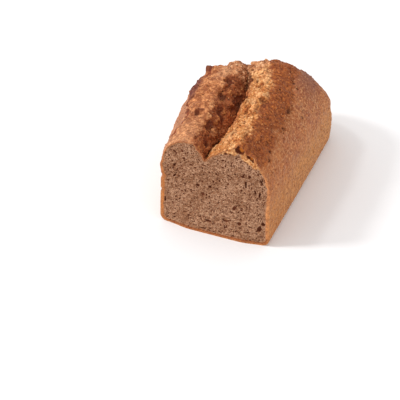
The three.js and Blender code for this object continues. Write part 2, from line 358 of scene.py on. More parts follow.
def crustRings(settings):
    return np.concatenate([
        spreadEvenly(0, rightTop + 0.5, settings["sideColumns"]),
        spreadEvenly(rightTop + 0.5, innerLeft, settings["rightTopColumns"]),
        spreadEvenly(innerLeft, leftTop + 0.5, settings["leftTopColumns"]),
        spreadEvenly(leftTop + 0.5, stretchCount, settings["sideColumns"]),
        [stretchCount],
    ])


def closeBase(rows, count):
    # adds the points of the flat base between the left and the right foot
    share = (np.arange(1, count) / count)[None, :, None]
    return np.concatenate([rows, blend(rows[:, -1:], rows[:, :1], share)], axis=1)


def outlineInset(loop, depth):
    # moves a closed outline in the cut face towards its inside
    along = np.roll(loop, -3, axis=0) - np.roll(loop, 3, axis=0)
    inward = np.stack([-along[:, 2], np.zeros(len(loop)), along[:, 0]], axis=1)
    inward /= np.linalg.norm(inward, axis=1, keepdims=True)
    for _ in range(10):
        inward = (np.roll(inward, 1, axis=0) + 2 * inward + np.roll(inward, -1, axis=0)) / 4
    return loop + inward * np.asarray(depth).reshape(-1, 1)


def markSharp(piece, groups):
    # the edges inside each group of points are left unsmoothed
    data = piece.data
    ends = np.empty(len(data.edges) * 2, np.int32)
    data.edges.foreach_get("vertices", ends)
    ends = ends.reshape(-1, 2)
    sharp = np.zeros(len(ends), bool)
    for group in groups:
        member = np.zeros(len(data.vertices), bool)
        member[group] = True
        sharp |= member[ends].all(axis=1)
    data.attributes.new("sharp_edge", "BOOLEAN", "EDGE").data.foreach_set("value", sharp)


tintRails = {
    "leftRidgeX": [(0, -21), (0.3, -23), (0.5, -26), (0.7, -30), (1, -34)],
    "leftEdgeX": [(0, -45), (0.1, -43.5), (0.18, -40.5), (0.25, -42.5), (0.37, -49.5), (0.5, -52),
                  (0.7, -49), (1, -42)],
}


def tintZones(ring, points):
    # soft shares of each tone; the material breaks their borders up
    x, y, z = np.moveaxis(points, -1, 0)
    s = (y + halfLength) / loafSize["length"]
    zone = crustZones(ring, points)
    ledge, band, onRight = zone["ledge"], zone["band"], zone["onRight"]
    drift = 2.6 * lumps(points, 10.0, 2.2) + 1.6 * lumps(points, 4.4, 5.5)
    x = x + drift * smooth((np.abs(ring - innerLeft) - 0.1) / 0.3)
    ridgeLine, edgeLine = rail(tintRails["leftRidgeX"], s), rail(tintRails["leftEdgeX"], s)
    onLeft = (ring >= innerLeft) * (ring < leftTop + 0.9)
    away = np.abs(ring - innerLeft)
    ridge = onRight * smooth((band + 8 - x) / 12) * smooth((z - 70) / 14)
    topBrown = onRight * smooth((ledge + 5 + 6 * smooth((0.34 - s) / 0.3) - x) / 11) * smooth((z - 56) / 16)
    flank = onLeft * smooth((x - ridgeLine + 5) / 9) * smooth((z - 40) / 20)
    valley = smooth((1.05 + 0.25 * (ring > innerLeft) - away) / 0.5) * smooth((y - 14 - 6 * onRight) / 26)
    valley = valley * smooth((z - 50) / 18)
    plateau = (1 - onRight) * smooth((z - 66) / 16)
    outside = onRight * smooth((x - 12) / 14) * smooth((x - ledge + 14) / 12)
    crumbly = np.maximum(np.maximum(ridge, valley), np.maximum(0.5 * flank, 0.3 * topBrown))
    rough = np.maximum(np.maximum(ridge, 1.1 * valley), np.maximum(flank, 0.5 * topBrown))
    rough = np.maximum(rough, 0.42 * plateau)
    return {
        "ridge": ridge,
        "topBrown": topBrown,
        "flank": flank,
        "deep": smooth(1 - away / 0.75) * (1 - smooth((y - 8) / 26)) * blend(0.25, 1, smooth((y + 74) / 40)),
        "valley": valley,
        "plateau": plateau,
        "purple": outside * smooth((y + 4) / 66) * smooth((z - 54) / 28),
        "lip": (smooth(1.1 - np.abs(ring - leftTop - 0.52) / 0.24) * smooth((y + 24) / 10)
                * (0.4 + 0.6 * smooth((12 - y) / 8))),
        "edgeLine": (smooth(1.2 - np.abs(x - edgeLine) / 1.7) * smooth((z - 70) / 10) * (1 - onRight)
                     * smooth((y + 84) / 10)),
        "leftOuter": smooth((edgeLine - x) / 2.5) * (1 - onRight) * smooth((z - 22) / 55) * smooth((46 - y) / 80),
        "rough": rough,
        # share of painted shade in the hollows
        "hollow": zone["hollow"] * smooth((s - 0.04) / 0.03),
        "shelf": smooth(1 - np.abs(x - ledge + 1) / 4) * onRight * smooth((z - 55) / 15),
        "grainShare": np.maximum(crumbly, 0.06 * smooth((z - 55) / 10)) * smooth(s / 0.01),
        "flakeShare": smooth(s / 0.01) * blend(0.25, 1, smooth((z - 50) / 20)) * smooth((z - 12) / 10),
    }


crustForms = [
    # place, reach across, along and up, height out of the surface and share of it that is jagged
    {"at": (24, -88, 98), "reach": (6.5, 8, 7), "height": 6.6, "jagged": 0.15},   # arch over the open bubble
    {"at": (32.5, -88, 91), "reach": (5.5, 7, 5.5), "height": 5.0, "jagged": 0.1},
    {"at": (-53, -90, 50), "reach": (6, 5, 2.8), "height": -3.0, "jagged": 0.2},  # nicks in the left edge
    {"at": (-53, -90, 62), "reach": (6, 8, 7), "height": 1.4, "jagged": 0.4},
    {"at": (-52, -88, 35), "reach": (6, 4, 2.2), "height": -1.7, "jagged": 0.2},
    {"at": (-51, -78, 75), "reach": (7, 16, 11), "height": 1.0, "jagged": 0.3},
    {"at": (52, 60, 60), "reach": (12, 30, 28), "height": 1.2, "jagged": 0.0},
    {"at": (53, 44, 22), "reach": (10, 44, 18), "height": 1.2, "jagged": 0.0},
    {"at": (-49, 31, 80), "reach": (7, 9, 9), "height": 3.0, "jagged": 0.45},     # broken corner of the left lobe
    {"at": (-46, 54, 76), "reach": (8, 15, 11), "height": -4.6, "jagged": 0.15},  # flat stretch beside it
    {"at": (-43, 42, 83), "reach": (5, 7, 8), "height": -2.4, "jagged": 0.2},
    {"at": (-37.5, 46, 83), "reach": (4.5, 7, 8), "height": -3.6, "jagged": 0.6},
    {"at": (-27, 62, 74), "reach": (7, 17, 10), "height": -7.0, "jagged": 0.15},
    {"at": (-9, 56, 87), "reach": (8, 13, 9), "height": -4.0, "jagged": 0.2},
    {"at": (3, 65, 83), "reach": (12, 11, 9), "height": -1.6, "jagged": 0.1},
    {"at": (-16, 44, 89), "reach": (4.5, 6, 7), "height": 5.4, "jagged": 0.7},
    {"at": (-27, 2, 91), "reach": (4.5, 6, 6), "height": 1.8, "jagged": 0.5},     # points of the left ridge
    {"at": (-22, -50, 94), "reach": (4, 10, 6), "height": 1.3, "jagged": 0.6},
    {"at": (-22, -78, 93), "reach": (4, 9, 6), "height": 1.0, "jagged": 0.8},
    {"at": (-13, -59, 85), "reach": (5, 8, 6), "height": 1.9, "jagged": 0.6},
    {"at": (-29, -49, 93), "reach": (8.5, 7.5, 8), "height": 2.2, "jagged": 0.3},
    {"at": (-29.5, -49, 93), "reach": (5.6, 4.2, 8), "height": -6.0, "jagged": 0.15},  # burst bubble
    {"at": (-24, -10.5, 89), "reach": (3.4, 4.4, 6), "height": -2.6, "jagged": 0.3},
    {"at": (-26, 13, 87), "reach": (4.4, 4, 6), "height": -3.2, "jagged": 0.3},
    {"at": (-16, -32, 88), "reach": (4.5, 7, 6), "height": -1.9, "jagged": 0.4},
    {"at": (-17, -60, 90), "reach": (3, 7, 5), "height": -1.7, "jagged": 0.4},
    {"at": (-13, -76, 85), "reach": (4, 4.5, 5), "height": -1.4, "jagged": 0.4},
    {"at": (-12, 2, 77), "reach": (6, 11, 7), "height": -2.4, "jagged": 0.3},
    {"at": (14, -24, 101), "reach": (6, 14, 7), "height": 1.2, "jagged": 0.5},    # crest over the torn strip
    {"at": (20.5, -24, 99), "reach": (3, 9, 6), "height": -1.5, "jagged": 0.4},
    {"at": (5, -70, 99), "reach": (9, 12, 7), "height": 1.0, "jagged": 0.8},
    {"at": (-48, 18.5, 82.5), "reach": (3, 4, 5), "height": -2.2, "jagged": 0.2},
    {"at": (-17.5, -88, 91), "reach": (5, 7, 4.5), "height": 1.9, "jagged": 0.5},  # shoulder of the left lobe
]
crustPits = [
    # place, reach and depth of the small pits
    (29.9, 28.6, 89.4, 2.0, 1.3), (34.0, 24.7, 87.0, 2.2, 1.5), (38.5, -5.8, 84.6, 2.6, 1.9),
    (42.4, 35.3, 76.7, 1.8, 1.0), (41.4, -31.7, 84.5, 2.2, 1.6), (43.2, -36.0, 82.5, 1.5, 1.0),
    (44.7, -40.7, 81.1, 1.6, 1.2), (41.7, -65.5, 83.6, 2.2, 1.4), (43.8, -72.8, 80.5, 1.9, 1.3),
    (52.4, -20.3, 55.0, 1.7, 0.9), (51.2, 46.6, 53.7, 1.8, 0.9), (47.5, 0.5, 75.9, 2.0, 1.0),
    (46.0, 7.0, 74.0, 1.4, 0.8), (-40.0, -58.4, 90.1, 1.8, 0.9), (-42.2, -66.0, 88.0, 1.8, 0.9),
    (12.0, -52.0, 100.0, 1.7, 1.1), (8.0, -6.0, 100.0, 1.9, 1.2), (16.0, 12.0, 99.0, 1.6, 1.0),
    (24.0, 6.0, 96.0, 1.5, 0.8), (31.0, -44.0, 93.0, 1.4, 0.8), (-38.0, -20.0, 92.0, 1.4, 0.7),
    (-44.0, -5.0, 89.0, 1.5, 0.8), (27.0, 20.0, 93.0, 1.7, 1.0),
]


tintSpots = [
    # kind, place and reach of the darker and paler patches: the dark ones are painted shade in the hollows, the
    # burst bubble and under the crest, and darker crust on the left lobe; the pale ones are paler crust with one
    # painted highlight on the left lobe
    ("darkSpot", (-33.2, -47.6, 92.5), (1.9, 2.6, 6)), ("darkSpot", (-30, -45, 93), (3.6, 1.3, 6)),
    ("paleSpot", (-28, -50, 93), (3.2, 2.4, 5)),
    ("darkSpot", (-26, 13, 87), (4.0, 3.6, 6)), ("darkSpot", (-23.6, -10.5, 88.5), (2.8, 3.4, 5)),
    ("darkSpot", (-48, 18.5, 82.5), (2.6, 3.6, 6)), ("darkSpot", (-12, 0, 77), (5.5, 15, 8)),
    ("darkSpot", (-16.9, -32, 88.5), (3.6, 6.5, 5)), ("darkSpot", (-17.4, -58, 90), (2.6, 7, 4)),
    ("darkSpot", (-14, -37, 84), (3.0, 5.0, 5)), ("darkSpot", (-13.5, -76, 85), (3.0, 4.0, 4)),
    ("paleSpot", (-21.2, -50, 92.8), (1.6, 6.5, 4)), ("paleSpot", (-23.5, -34, 93), (2.4, 8, 5)),
    ("paleSpot", (-28.2, 1.5, 91), (2.4, 5, 5)), ("paleSpot", (-21.5, -72, 93), (2.0, 8, 4)),
    ("paleSpot", (-13.2, -59, 84.5), (2.6, 6, 5)), ("paleSpot", (-30, 30, 86), (3.0, 7, 6)),
    ("paleSpot", (-40, -58.3, 89.2), (1.9, 1.9, 4)), ("paleSpot", (2, -74, 98), (9, 14, 7)),
    ("paleSpot", (5, 22, 98), (6, 12, 7)), ("paleSpot", (10, -18, 101), (5, 9, 6)),
    ("darkSpot", (20.5, -25, 99), (2.2, 3.2, 4)),
    ("darkSpot", (-52, 10, 84.5), (2.4, 3.0, 5)), ("darkSpot", (-51, 31, 81), (3.4, 4.6, 4)),
    ("darkSpot", (-47, -22, 87), (3.0, 6, 5)),
    ("darkSpot", (-42, -46, 90), (1.6, 3.2, 4)), ("darkSpot", (-12, 24, 80), (3.5, 9, 8)),
]


shoulderCut = {
    # how much lower the right wall of the split starts, along the loaf, and where across it
    "depth": [(0, 2.5), (0.09, 5), (0.21, 5), (0.31, 6), (0.39, 4), (0.46, 4), (0.54, 5.5),
              (0.61, 4), (0.7, 1), (0.8, 0), (1, 0)],
    "ring": 3.4,
    "reach": 0.62,
}


def cutShoulder(ring, s):
    across = smooth(1.25 * (1 - np.abs(ring - shoulderCut["ring"]) / shoulderCut["reach"]))
    return rail(shoulderCut["depth"], s) * across


def spotShares(points):
    waver = 0.3 * lumps(points, 3.6, 1.1) + 0.2 * lumps(points, 1.8, 6.6)
    shares = {"darkSpot": np.zeros(points.shape[:2]), "paleSpot": np.zeros(points.shape[:2])}
    for kind, place, reach in tintSpots:
        away = np.linalg.norm((points - place) / reach, axis=-1) + waver
        shares[kind] = np.maximum(shares[kind], smooth((1.3 - away) / 0.6))
    return shares


def extraForms(points):
    # lumps and hollows that only the dressed loaf has, and the share of pit at each point
    out = np.zeros(points.shape[:2])
    jag = lumps(points, 3.4, 6.1) + 0.7 * lumps(points, 1.9, 3.3)
    waver = 0.22 * lumps(points, 4.0, 2.9)
    for form in crustForms:
        away = np.linalg.norm((points - form["at"]) / form["reach"], axis=-1) + waver
        out += smooth(1.2 - away) * form["height"] * (1 + form["jagged"] * jag)
    pit = np.zeros(points.shape[:2])
    for x, y, z, reach, depth in crustPits:
        away = np.linalg.norm(points - (x, y, z), axis=-1) / reach + 1.4 * waver
        inside = smooth((1.15 - away) / 0.6)
        pit = np.maximum(pit, inside)
        out -= depth * inside
    return out, pit


def buildCrust(settings):
    rings = crustRings(settings)
    base = smoothLoaf(rings, settings["alongRows"], settings["roundingRows"])
    ringTable = np.broadcast_to(rings, base.shape[:2])
    out, zone = crustRelief(ringTable, base)
    s = zone["s"]
    fine = (zone["torn"] * (0.8 * lumps(base, 3.7, 5.9) + 0.5 * lumps(base, 2.1, 2.7))
            * blend(0.3, 1, smooth(s / 0.06)))
    zones = tintZones(ringTable, base)
    shelf = zones["shelf"]
    fine -= 0.9 * shelf * smooth(lumps(base, 4.6, 8.3) * 1.6 - 0.1) * smooth(s / 0.05)
    softly = smooth(s / 0.05)
    fine += zones["flank"] * (1.4 * lumps(base, 7.5, 1.7) + 1.0 * lumps(base, 4.3, 8.8)) * softly
    fine += zones["plateau"] * (1.2 * lumps(base, 6.4, 4.9) + 0.8 * lumps(base, 3.3, 0.7)) * softly
    fine += zones["ridge"] * (1.3 * lumps(base, 8.0, 5.3) + 0.7 * lumps(base, 4.6, 7.2)) * softly
    extra, pitShare = extraForms(base)
    fine += extra * blend(0.8, 1, smooth(s / 0.04)) - cutShoulder(ringTable, s)
    fade = smooth(base[..., 2] / loafSize["baseFade"])
    rows = base + gridNormals(base) * (fade * (out + fine))[..., None]
    directions = gridNormals(rows) * (fade * blend(0.35, 1, smooth(s / 0.02)))[..., None]
    rows = closeBase(rows, settings["baseColumns"])
    rowCount = len(rows)

    face = rows[0]
    splitIndex = settings["sideColumns"] + settings["rightTopColumns"]
    fromSplit = np.linalg.norm(face - face[splitIndex], axis=1)
    waver = settings["rimSpread"] * (lumps(face, 7.0, 1.3) + 0.6 * lumps(face, 2.6, 4.7))
    lowDown = smooth((70 + 0.12 * np.abs(face[:, 0]) - face[:, 2]) / 30)
    thickness = blend(settings["rimAtSplit"], settings["rimThickness"], smooth(fromSplit / 30))
    thickness = blend(thickness, settings["rimLow"], lowDown)
    thickness = np.maximum(thickness + waver, 0.35)
    inner = outlineInset(face, thickness)
    floorLoop = inner.copy()
    floorLoop[:, 1] += settings["faceDepth"]
    middle = np.array([0.0, -halfLength + settings["faceDepth"], faceMiddle])
    faceRows = [blend(floorLoop, middle, k / settings["faceRings"]) for k in range(1, settings["faceRings"])]
    front = np.stack([*reversed(faceRows), floorLoop, inner])

    endRing = rows[-1]
    endMiddle = np.array([0.0, 0.0, loafSize["endMiddleHeight"]])
    endRows = []
    for k in range(1, settings["endRings"]):
        share = 1 - k / settings["endRings"]
        ringPoints = blend(endMiddle, endRing, share)
        ringPoints[:, 1] = endFace(ringPoints[:, 0]) + loafSize["endCrown"] * (1 - share * share)
        endRows.append(ringPoints)
    endPoint = np.array([0.0, endFace(0.0) + loafSize["endCrown"], endMiddle[2]])

    table = np.concatenate([front, rows, np.stack(endRows)])
    first = len(front)

    def whole(values):
        filled = np.zeros(table.shape[:2] + values.shape[2:])
        filled[first:first + rowCount, :len(rings)] = values
        return filled

    tints = {name: whole(values) for name, values in zones.items()}
    # shares of painted shade in the hollows and pits
    tints["hollow"] = np.maximum(tints["hollow"], whole(pitShare))
    tints.update({name: whole(values) for name, values in spotShares(base).items()})
    rimFace = np.zeros(table.shape[:2])
    rimFace[:first] = 1
    tints["rimFace"] = rimFace
    pushes = whole(directions)

    # both halves share the divider below the split, which stays behind the crumb
    share = (np.arange(1, settings["dividerColumns"] + 1) / (settings["dividerColumns"] + 1))[None, :, None]
    baseMiddle = len(rings) + settings["baseColumns"] // 2 - 1
    divider = blend(table[:, splitIndex:splitIndex + 1], table[:, baseMiddle:baseMiddle + 1], share)
    floorY = -halfLength + settings["faceDepth"]
    gap = settings["dividerGap"]
    shorter = 1 - (settings["faceDepth"] + gap) / loafSize["length"]
    divider[first:, :, 1] = floorY + gap + (divider[first:, :, 1] + halfLength) * shorter
    divider[first - 1, :, 1] = floorY + gap / 2

    def half(name, parts, splitColumn, middleColumn):
        points = np.concatenate([divider if part is None else table[:, part] for part in parts], axis=1)

        def chosen(values, onDivider=0.0):
            blank = np.full(divider.shape[:2] + values.shape[2:], onDivider)
            cut = np.concatenate([blank if part is None else values[:, part] for part in parts], axis=1)
            flatCut = cut.reshape((-1,) + cut.shape[2:])
            return np.concatenate([flatCut, np.zeros((2,) + flatCut.shape[1:])])

        index = np.arange(points.shape[0] * points.shape[1]).reshape(points.shape[:2])
        count = index.size
        faces = gridFaces(index, closed=True)
        faces += fanFaces(index[-1].tolist(), count + 1)
        faces += [tuple(reversed(each)) for each in fanFaces(index[0].tolist(), count)]
        allPoints = bowFace(np.concatenate([points.reshape(-1, 3), [middle, endPoint]]))
        shares = {label: chosen(values) for label, values in tints.items()}
        shares["divider"] = chosen(np.zeros(table.shape[:2]), 1.0)
        piece = meshObject(name, allPoints, faces, shares)
        layer = piece.data.attributes.new("push", "FLOAT_VECTOR", "POINT")
        layer.data.foreach_set("vector", chosen(pushes).astype(np.float32).ravel())
        markSharp(piece, [index[first], index[first - 1], index[:, splitColumn], index[:, middleColumn]])
        return piece

    width = splitIndex + 1 + settings["dividerColumns"]
    right = half("rightCrust", [slice(0, splitIndex + 1), None, slice(baseMiddle, None)], splitIndex, width)
    divider = divider[:, ::-1]
    left = half("leftCrust", [slice(splitIndex, baseMiddle + 1), None], 0, baseMiddle - splitIndex)
    return right, left, inner


rightCrust, leftCrust, faceOutline = buildCrust(crustPiece)
print("crust shaped", len(rightCrust.data.vertices), len(leftCrust.data.vertices))


crumbPiece = {
    "columns": 330,
    "rows": 262,
    "overlap": 0.12,          # how far the crumb reaches into the crust around it
    "rimSink": 0.1,           # how far the crumb lies behind the crust's edge
    "backDepth": 3.0,
}
largePores = [
    # place in the cut face, half width, half height, lean in degrees and depth
    (-37.0, 64.5, 0.9, 2.1, -35, 1.8), (-37.1, 52.8, 0.8, 2.2, -35, 1.6), (-15.4, 48.7, 1.5, 1.3, 0, 1.8),
    (-10.8, 40.4, 1.6, 1.9, -20, 0.9), (-4.1, 49.9, 1.4, 1.2, 20, 2.0), (28.7, 61.4, 0.8, 3.4, 4, 2.1),
    (26.1, 69.7, 0.8, 2.0, -8, 1.6), (32.0, 71.0, 1.1, 1.5, 0, 1.5), (42.7, 68.0, 0.8, 2.6, 28, 2.0),
    (41.3, 54.3, 0.8, 2.9, -8, 2.2), (37.4, 55.6, 0.7, 2.2, 12, 1.7), (-5.1, 13.1, 2.7, 0.9, 4, 1.9),
    (10.6, 17.9, 2.9, 1.2, 0, 2.1), (23.3, 17.5, 1.6, 1.4, 0, 1.6), (42.0, 17.2, 1.7, 3.0, -22, 2.4),
    (45.0, 22.9, 1.5, 1.9, -40, 2.2), (-9.4, 4.8, 2.8, 0.7, 5, 1.5), (-46.0, 24.5, 0.8, 3.0, 0, 1.6),
    (-36.1, 78.8, 1.8, 0.9, -30, 1.4), (-28.0, 74.0, 1.5, 1.0, 20, 1.2),
]
crustBubbles = [
    (22.8, 97.2, 3.9, 4.3, 20, 2.3), (32.4, 91.4, 2.3, 4.4, 36, 2.1),
]
crustStrip = {
    # torn crust that shows between the rim and the crumb: middle, reach and widths
    "x": 26.0,
    "reach": 25.0,
    "width": 8.0,
    "least": -0.9,
    "waver": 1.5,
}


def stripShare(points, fromRim):
    width = crustStrip["width"] * smooth(1 - np.abs(points[:, 0] - crustStrip["x"]) / crustStrip["reach"])
    width = width * smooth((points[:, 2] - 60) / 20) + crustStrip["least"]
    waver = crustStrip["waver"] * (lumps(points, 3.4, 2.6) + 0.6 * lumps(points, 1.5, 8.1))
    return smooth((width + waver - fromRim) / 1.2 + 0.5)


def resample(points, steps):
    reach = np.concatenate([[0], np.cumsum(np.linalg.norm(np.diff(points, axis=0), axis=1))])
    wanted = np.linspace(0, reach[-1], steps + 1)
    return np.stack([np.interp(wanted, reach, points[:, k]) for k in range(3)], axis=1)


def coonsGrid(bottom, top, left, right):
    u = np.linspace(0, 1, len(bottom))[None, :, None]
    v = np.linspace(0, 1, len(left))[:, None, None]
    between = blend(bottom[None], top[None], v) + blend(left[:, None], right[:, None], u)
    corners = blend(blend(bottom[0], bottom[-1], u), blend(top[0], top[-1], u), v)
    return between - corners


def rimDistance(points, outline):
    nearest = np.full(len(points), 1e9)
    for start in range(0, len(outline), 40):
        away = np.linalg.norm(points[:, None, :] - outline[None, start:start + 40], axis=2)
        nearest = np.minimum(nearest, away.min(axis=1))
    return nearest


def ovals(points, shapes):
    # depth of the listed hollows in the cut face, with edges that waver
    waver = 0.28 * lumps(points, 1.6, 4.4) + 0.2 * lumps(points, 3.1, 7.7)
    depth = np.zeros(len(points))
    for x, z, wide, high, lean, deepest in shapes:
        turn = math.radians(lean)
        dx, dz = points[:, 0] - x, points[:, 2] - z
        across = dx * math.cos(turn) + dz * math.sin(turn)
        up = dz * math.cos(turn) - dx * math.sin(turn)
        away = np.hypot(across / wide, up / high) + waver
        depth = np.maximum(depth, deepest * smooth((1.25 - away) / 0.6))
    return depth


def bubbleShade(points):
    # 1 around the edge of each open bubble, 0 where the light reaches its floor
    shade = np.zeros(len(points))
    for x, z, wide, high, _, _ in crustBubbles:
        dx, dz = (points[:, 0] - x) / wide, (points[:, 2] - z) / high
        lit = smooth((0.85 - np.hypot(dx - 0.25, dz + 0.15)) / 0.6)
        shade = np.maximum(shade, (1 - lit) * smooth(3 - np.hypot(dx, dz)))
    return shade


def buildCrumb(settings, outline):
    loop = outlineInset(outline, -settings["overlap"])
    side, top = crustPiece["sideColumns"], crustPiece["rightTopColumns"] + crustPiece["leftTopColumns"]
    ringEnd = side * 2 + top
    right = resample(loop[:side + 1], settings["rows"])
    over = resample(loop[side:side + top + 1], settings["columns"])[::-1]
    left = resample(loop[side + top:ringEnd + 1], settings["rows"])[::-1]
    under = resample(np.concatenate([loop[ringEnd:], loop[:1]]), settings["columns"])
    grid = coonsGrid(under, over, left, right)
    grid[..., 1] = -halfLength + settings["rimSink"]
    count = grid.shape[0] * grid.shape[1]
    index = np.arange(count).reshape(grid.shape[:2])
    edge = np.concatenate([index[0, :-1], index[:-1, -1], index[-1, :0:-1], index[:0:-1, 0]])
    flat = grid.reshape(-1, 3)
    behind = flat[edge].copy()
    behind[:, 1] = -halfLength + settings["backDepth"]
    backMiddle = np.array([[0.0, -halfLength + settings["backDepth"], faceMiddle]])
    points = np.concatenate([flat, behind, backMiddle])
    faces = np.stack([index[:-1, :-1], index[:-1, 1:], index[1:, 1:], index[1:, :-1]], axis=-1)
    faces = faces.reshape(-1, 4).tolist()
    backLoop = np.arange(count, count + len(edge))
    for k in range(len(edge)):
        after = (k + 1) % len(edge)
        faces.append((int(edge[after]), int(edge[k]), int(backLoop[k]), int(backLoop[after])))
    faces += fanFaces(backLoop.tolist(), count + len(edge))
    hidden = np.zeros(len(behind) + 1)
    fromRim = rimDistance(flat, outline)
    attributes = {
        "rimDistance": np.concatenate([fromRim, hidden]),
        "strip": np.concatenate([stripShare(flat, fromRim), hidden]),
        "largePore": np.concatenate([ovals(flat, largePores), hidden]),
        "bubble": np.concatenate([ovals(flat, crustBubbles), hidden]),
        "bubbleShade": np.concatenate([bubbleShade(flat), hidden]),
    }
    piece = meshObject("loafCrumb", bowFace(points), faces, attributes)
    markSharp(piece, [edge, backLoop])
    return piece


crumb = buildCrumb(crumbPiece, faceOutline)
print("crumb shaped", len(crumb.data.vertices))


def addNode(tree, kind, sockets=None, **settings):
    made = tree.nodes.new(kind)
    for key, value in settings.items():
        setattr(made, key, value)
    for key, value in (sockets or {}).items():
        if isinstance(value, bpy.types.NodeSocket):
            tree.links.new(value, made.inputs[key])
        else:
            made.inputs[key].default_value = value
    return made


def calc(tree, operation, first, second=0.0, third=0.0, clamp=False):
    return addNode(tree, "ShaderNodeMath", {0: first, 1: second, 2: third},
                   operation=operation, use_clamp=clamp).outputs[0]


def times(tree, first, second):
    return calc(tree, "MULTIPLY", first, second)


def centre(tree, noise):
    # noise from 0 to 1, moved so that it lies around 0
    return calc(tree, "SUBTRACT", noise, 0.5)


def vectorCalc(tree, operation, first, second):
    return addNode(tree, "ShaderNodeVectorMath", {0: first, 1: second}, operation=operation).outputs[0]


def scaled(tree, direction, amount):
    return addNode(tree, "ShaderNodeVectorMath", {0: direction, "Scale": amount}, operation="SCALE").outputs[0]


def rise(tree, value, low, high, lowest=0.0, highest=1.0):
    # a smooth step from lowest to highest as the value goes from low to high
    return addNode(tree, "ShaderNodeMapRange", {0: value, 1: low, 2: high, 3: lowest, 4: highest},
                   interpolation_type="SMOOTHSTEP").outputs[0]


def newTree(name, inputs):
    tree = bpy.data.node_groups.new(name, "GeometryNodeTree")
    tree.interface.new_socket("Geometry", in_out="INPUT", socket_type="NodeSocketGeometry")
    for label, kind in inputs.items():
        tree.interface.new_socket(label, in_out="INPUT", socket_type=kind)
    tree.interface.new_socket("Geometry", in_out="OUTPUT", socket_type="NodeSocketGeometry")
    return tree, addNode(tree, "NodeGroupInput").outputs


def closeTree(tree, geometry, material):
    whole = addNode(tree, "GeometryNodeRealizeInstances", {0: geometry})
    finished = addNode(tree, "GeometryNodeSetMaterial", {"Geometry": whole.outputs[0], "Material": material})
    addNode(tree, "NodeGroupOutput", {0: finished.outputs[0]})


def runTree(piece, tree, values):
    modifier = piece.modifiers.new(tree.name, "NODES")
    modifier.node_group = tree
    for item in tree.interface.items_tree:
        if item.item_type == "SOCKET" and item.in_out == "INPUT" and item.name in values:
            modifier[item.identifier] = values[item.name]
    bpy.context.view_layer.update()
    depsgraph = bpy.context.evaluated_depsgraph_get()
    finished = bpy.data.meshes.new_from_object(piece.evaluated_get(depsgraph), depsgraph=depsgraph)
    piece.modifiers.clear()
    piece.data = finished
    finished.name = piece.name


def readAttribute(tree, name):
    return addNode(tree, "GeometryNodeInputNamedAttribute", {"Name": name}, data_type="FLOAT").outputs["Attribute"]


def keepAttribute(tree, geometry, name, value):
    return addNode(tree, "GeometryNodeStoreNamedAttribute", {"Geometry": geometry, "Name": name, "Value": value},
                   data_type="FLOAT", domain="POINT").outputs[0]


def noiseAt(tree, place, size, detail=2.0, roughness=0.5):
    scale = calc(tree, "DIVIDE", 1.0, size)
    return addNode(tree, "ShaderNodeTexNoise", {"Vector": place, "Scale": scale, "Detail": detail,
                                                "Roughness": roughness}).outputs[0]


def cellsAt(tree, place, size, feature="F1", randomness=1.0):
    scale = calc(tree, "DIVIDE", 1.0, size)
    return addNode(tree, "ShaderNodeTexVoronoi", {"Vector": place, "Scale": scale, "Randomness": randomness},
                   feature=feature)


def poreDepth(tree, place, size, depth, share, widest=0.52, edge=0.16):
    # round hollows, one for a share of the cells, as large as a draw for the cell says
    cells = cellsAt(tree, place, size)
    draw = addNode(tree, "FunctionNodeSeparateColor", {0: cells.outputs["Color"]}).outputs[0]
    radius = rise(tree, draw, 1.0 - share, 1.0, 0.0, widest)
    inside = calc(tree, "SUBTRACT", radius, cells.outputs["Distance"])
    return times(tree, rise(tree, inside, 0.0, edge), depth)


def bend(tree, place, size, amount):
    # the place moved by noise, so that what is drawn there wavers
    scale = calc(tree, "DIVIDE", 1.0, size)
    noise = addNode(tree, "ShaderNodeTexNoise", {"Vector": place, "Scale": scale, "Detail": 1.0}).outputs[1]
    step = scaled(tree, vectorCalc(tree, "SUBTRACT", noise, (0.5, 0.5, 0.5)), amount)
    return vectorCalc(tree, "ADD", place, step)


def stretchPlace(tree, place, shares):
    return vectorCalc(tree, "MULTIPLY", place, shares)


def shiftAlong(tree, geometry, amount, direction):
    offset = scaled(tree, direction, amount)
    return addNode(tree, "GeometryNodeSetPosition", {"Geometry": geometry, "Offset": offset}).outputs[0]


crustDetail = {
    # metres: size and reach of the two wavers, then sizes of the noises
    "wideWaver": (0.006, 0.0035),
    "narrowWaver": (0.0022, 0.0017),
    "calmSize": 0.008,
    "grainSize": 0.0016,
    "streakSize": 0.0022,
}


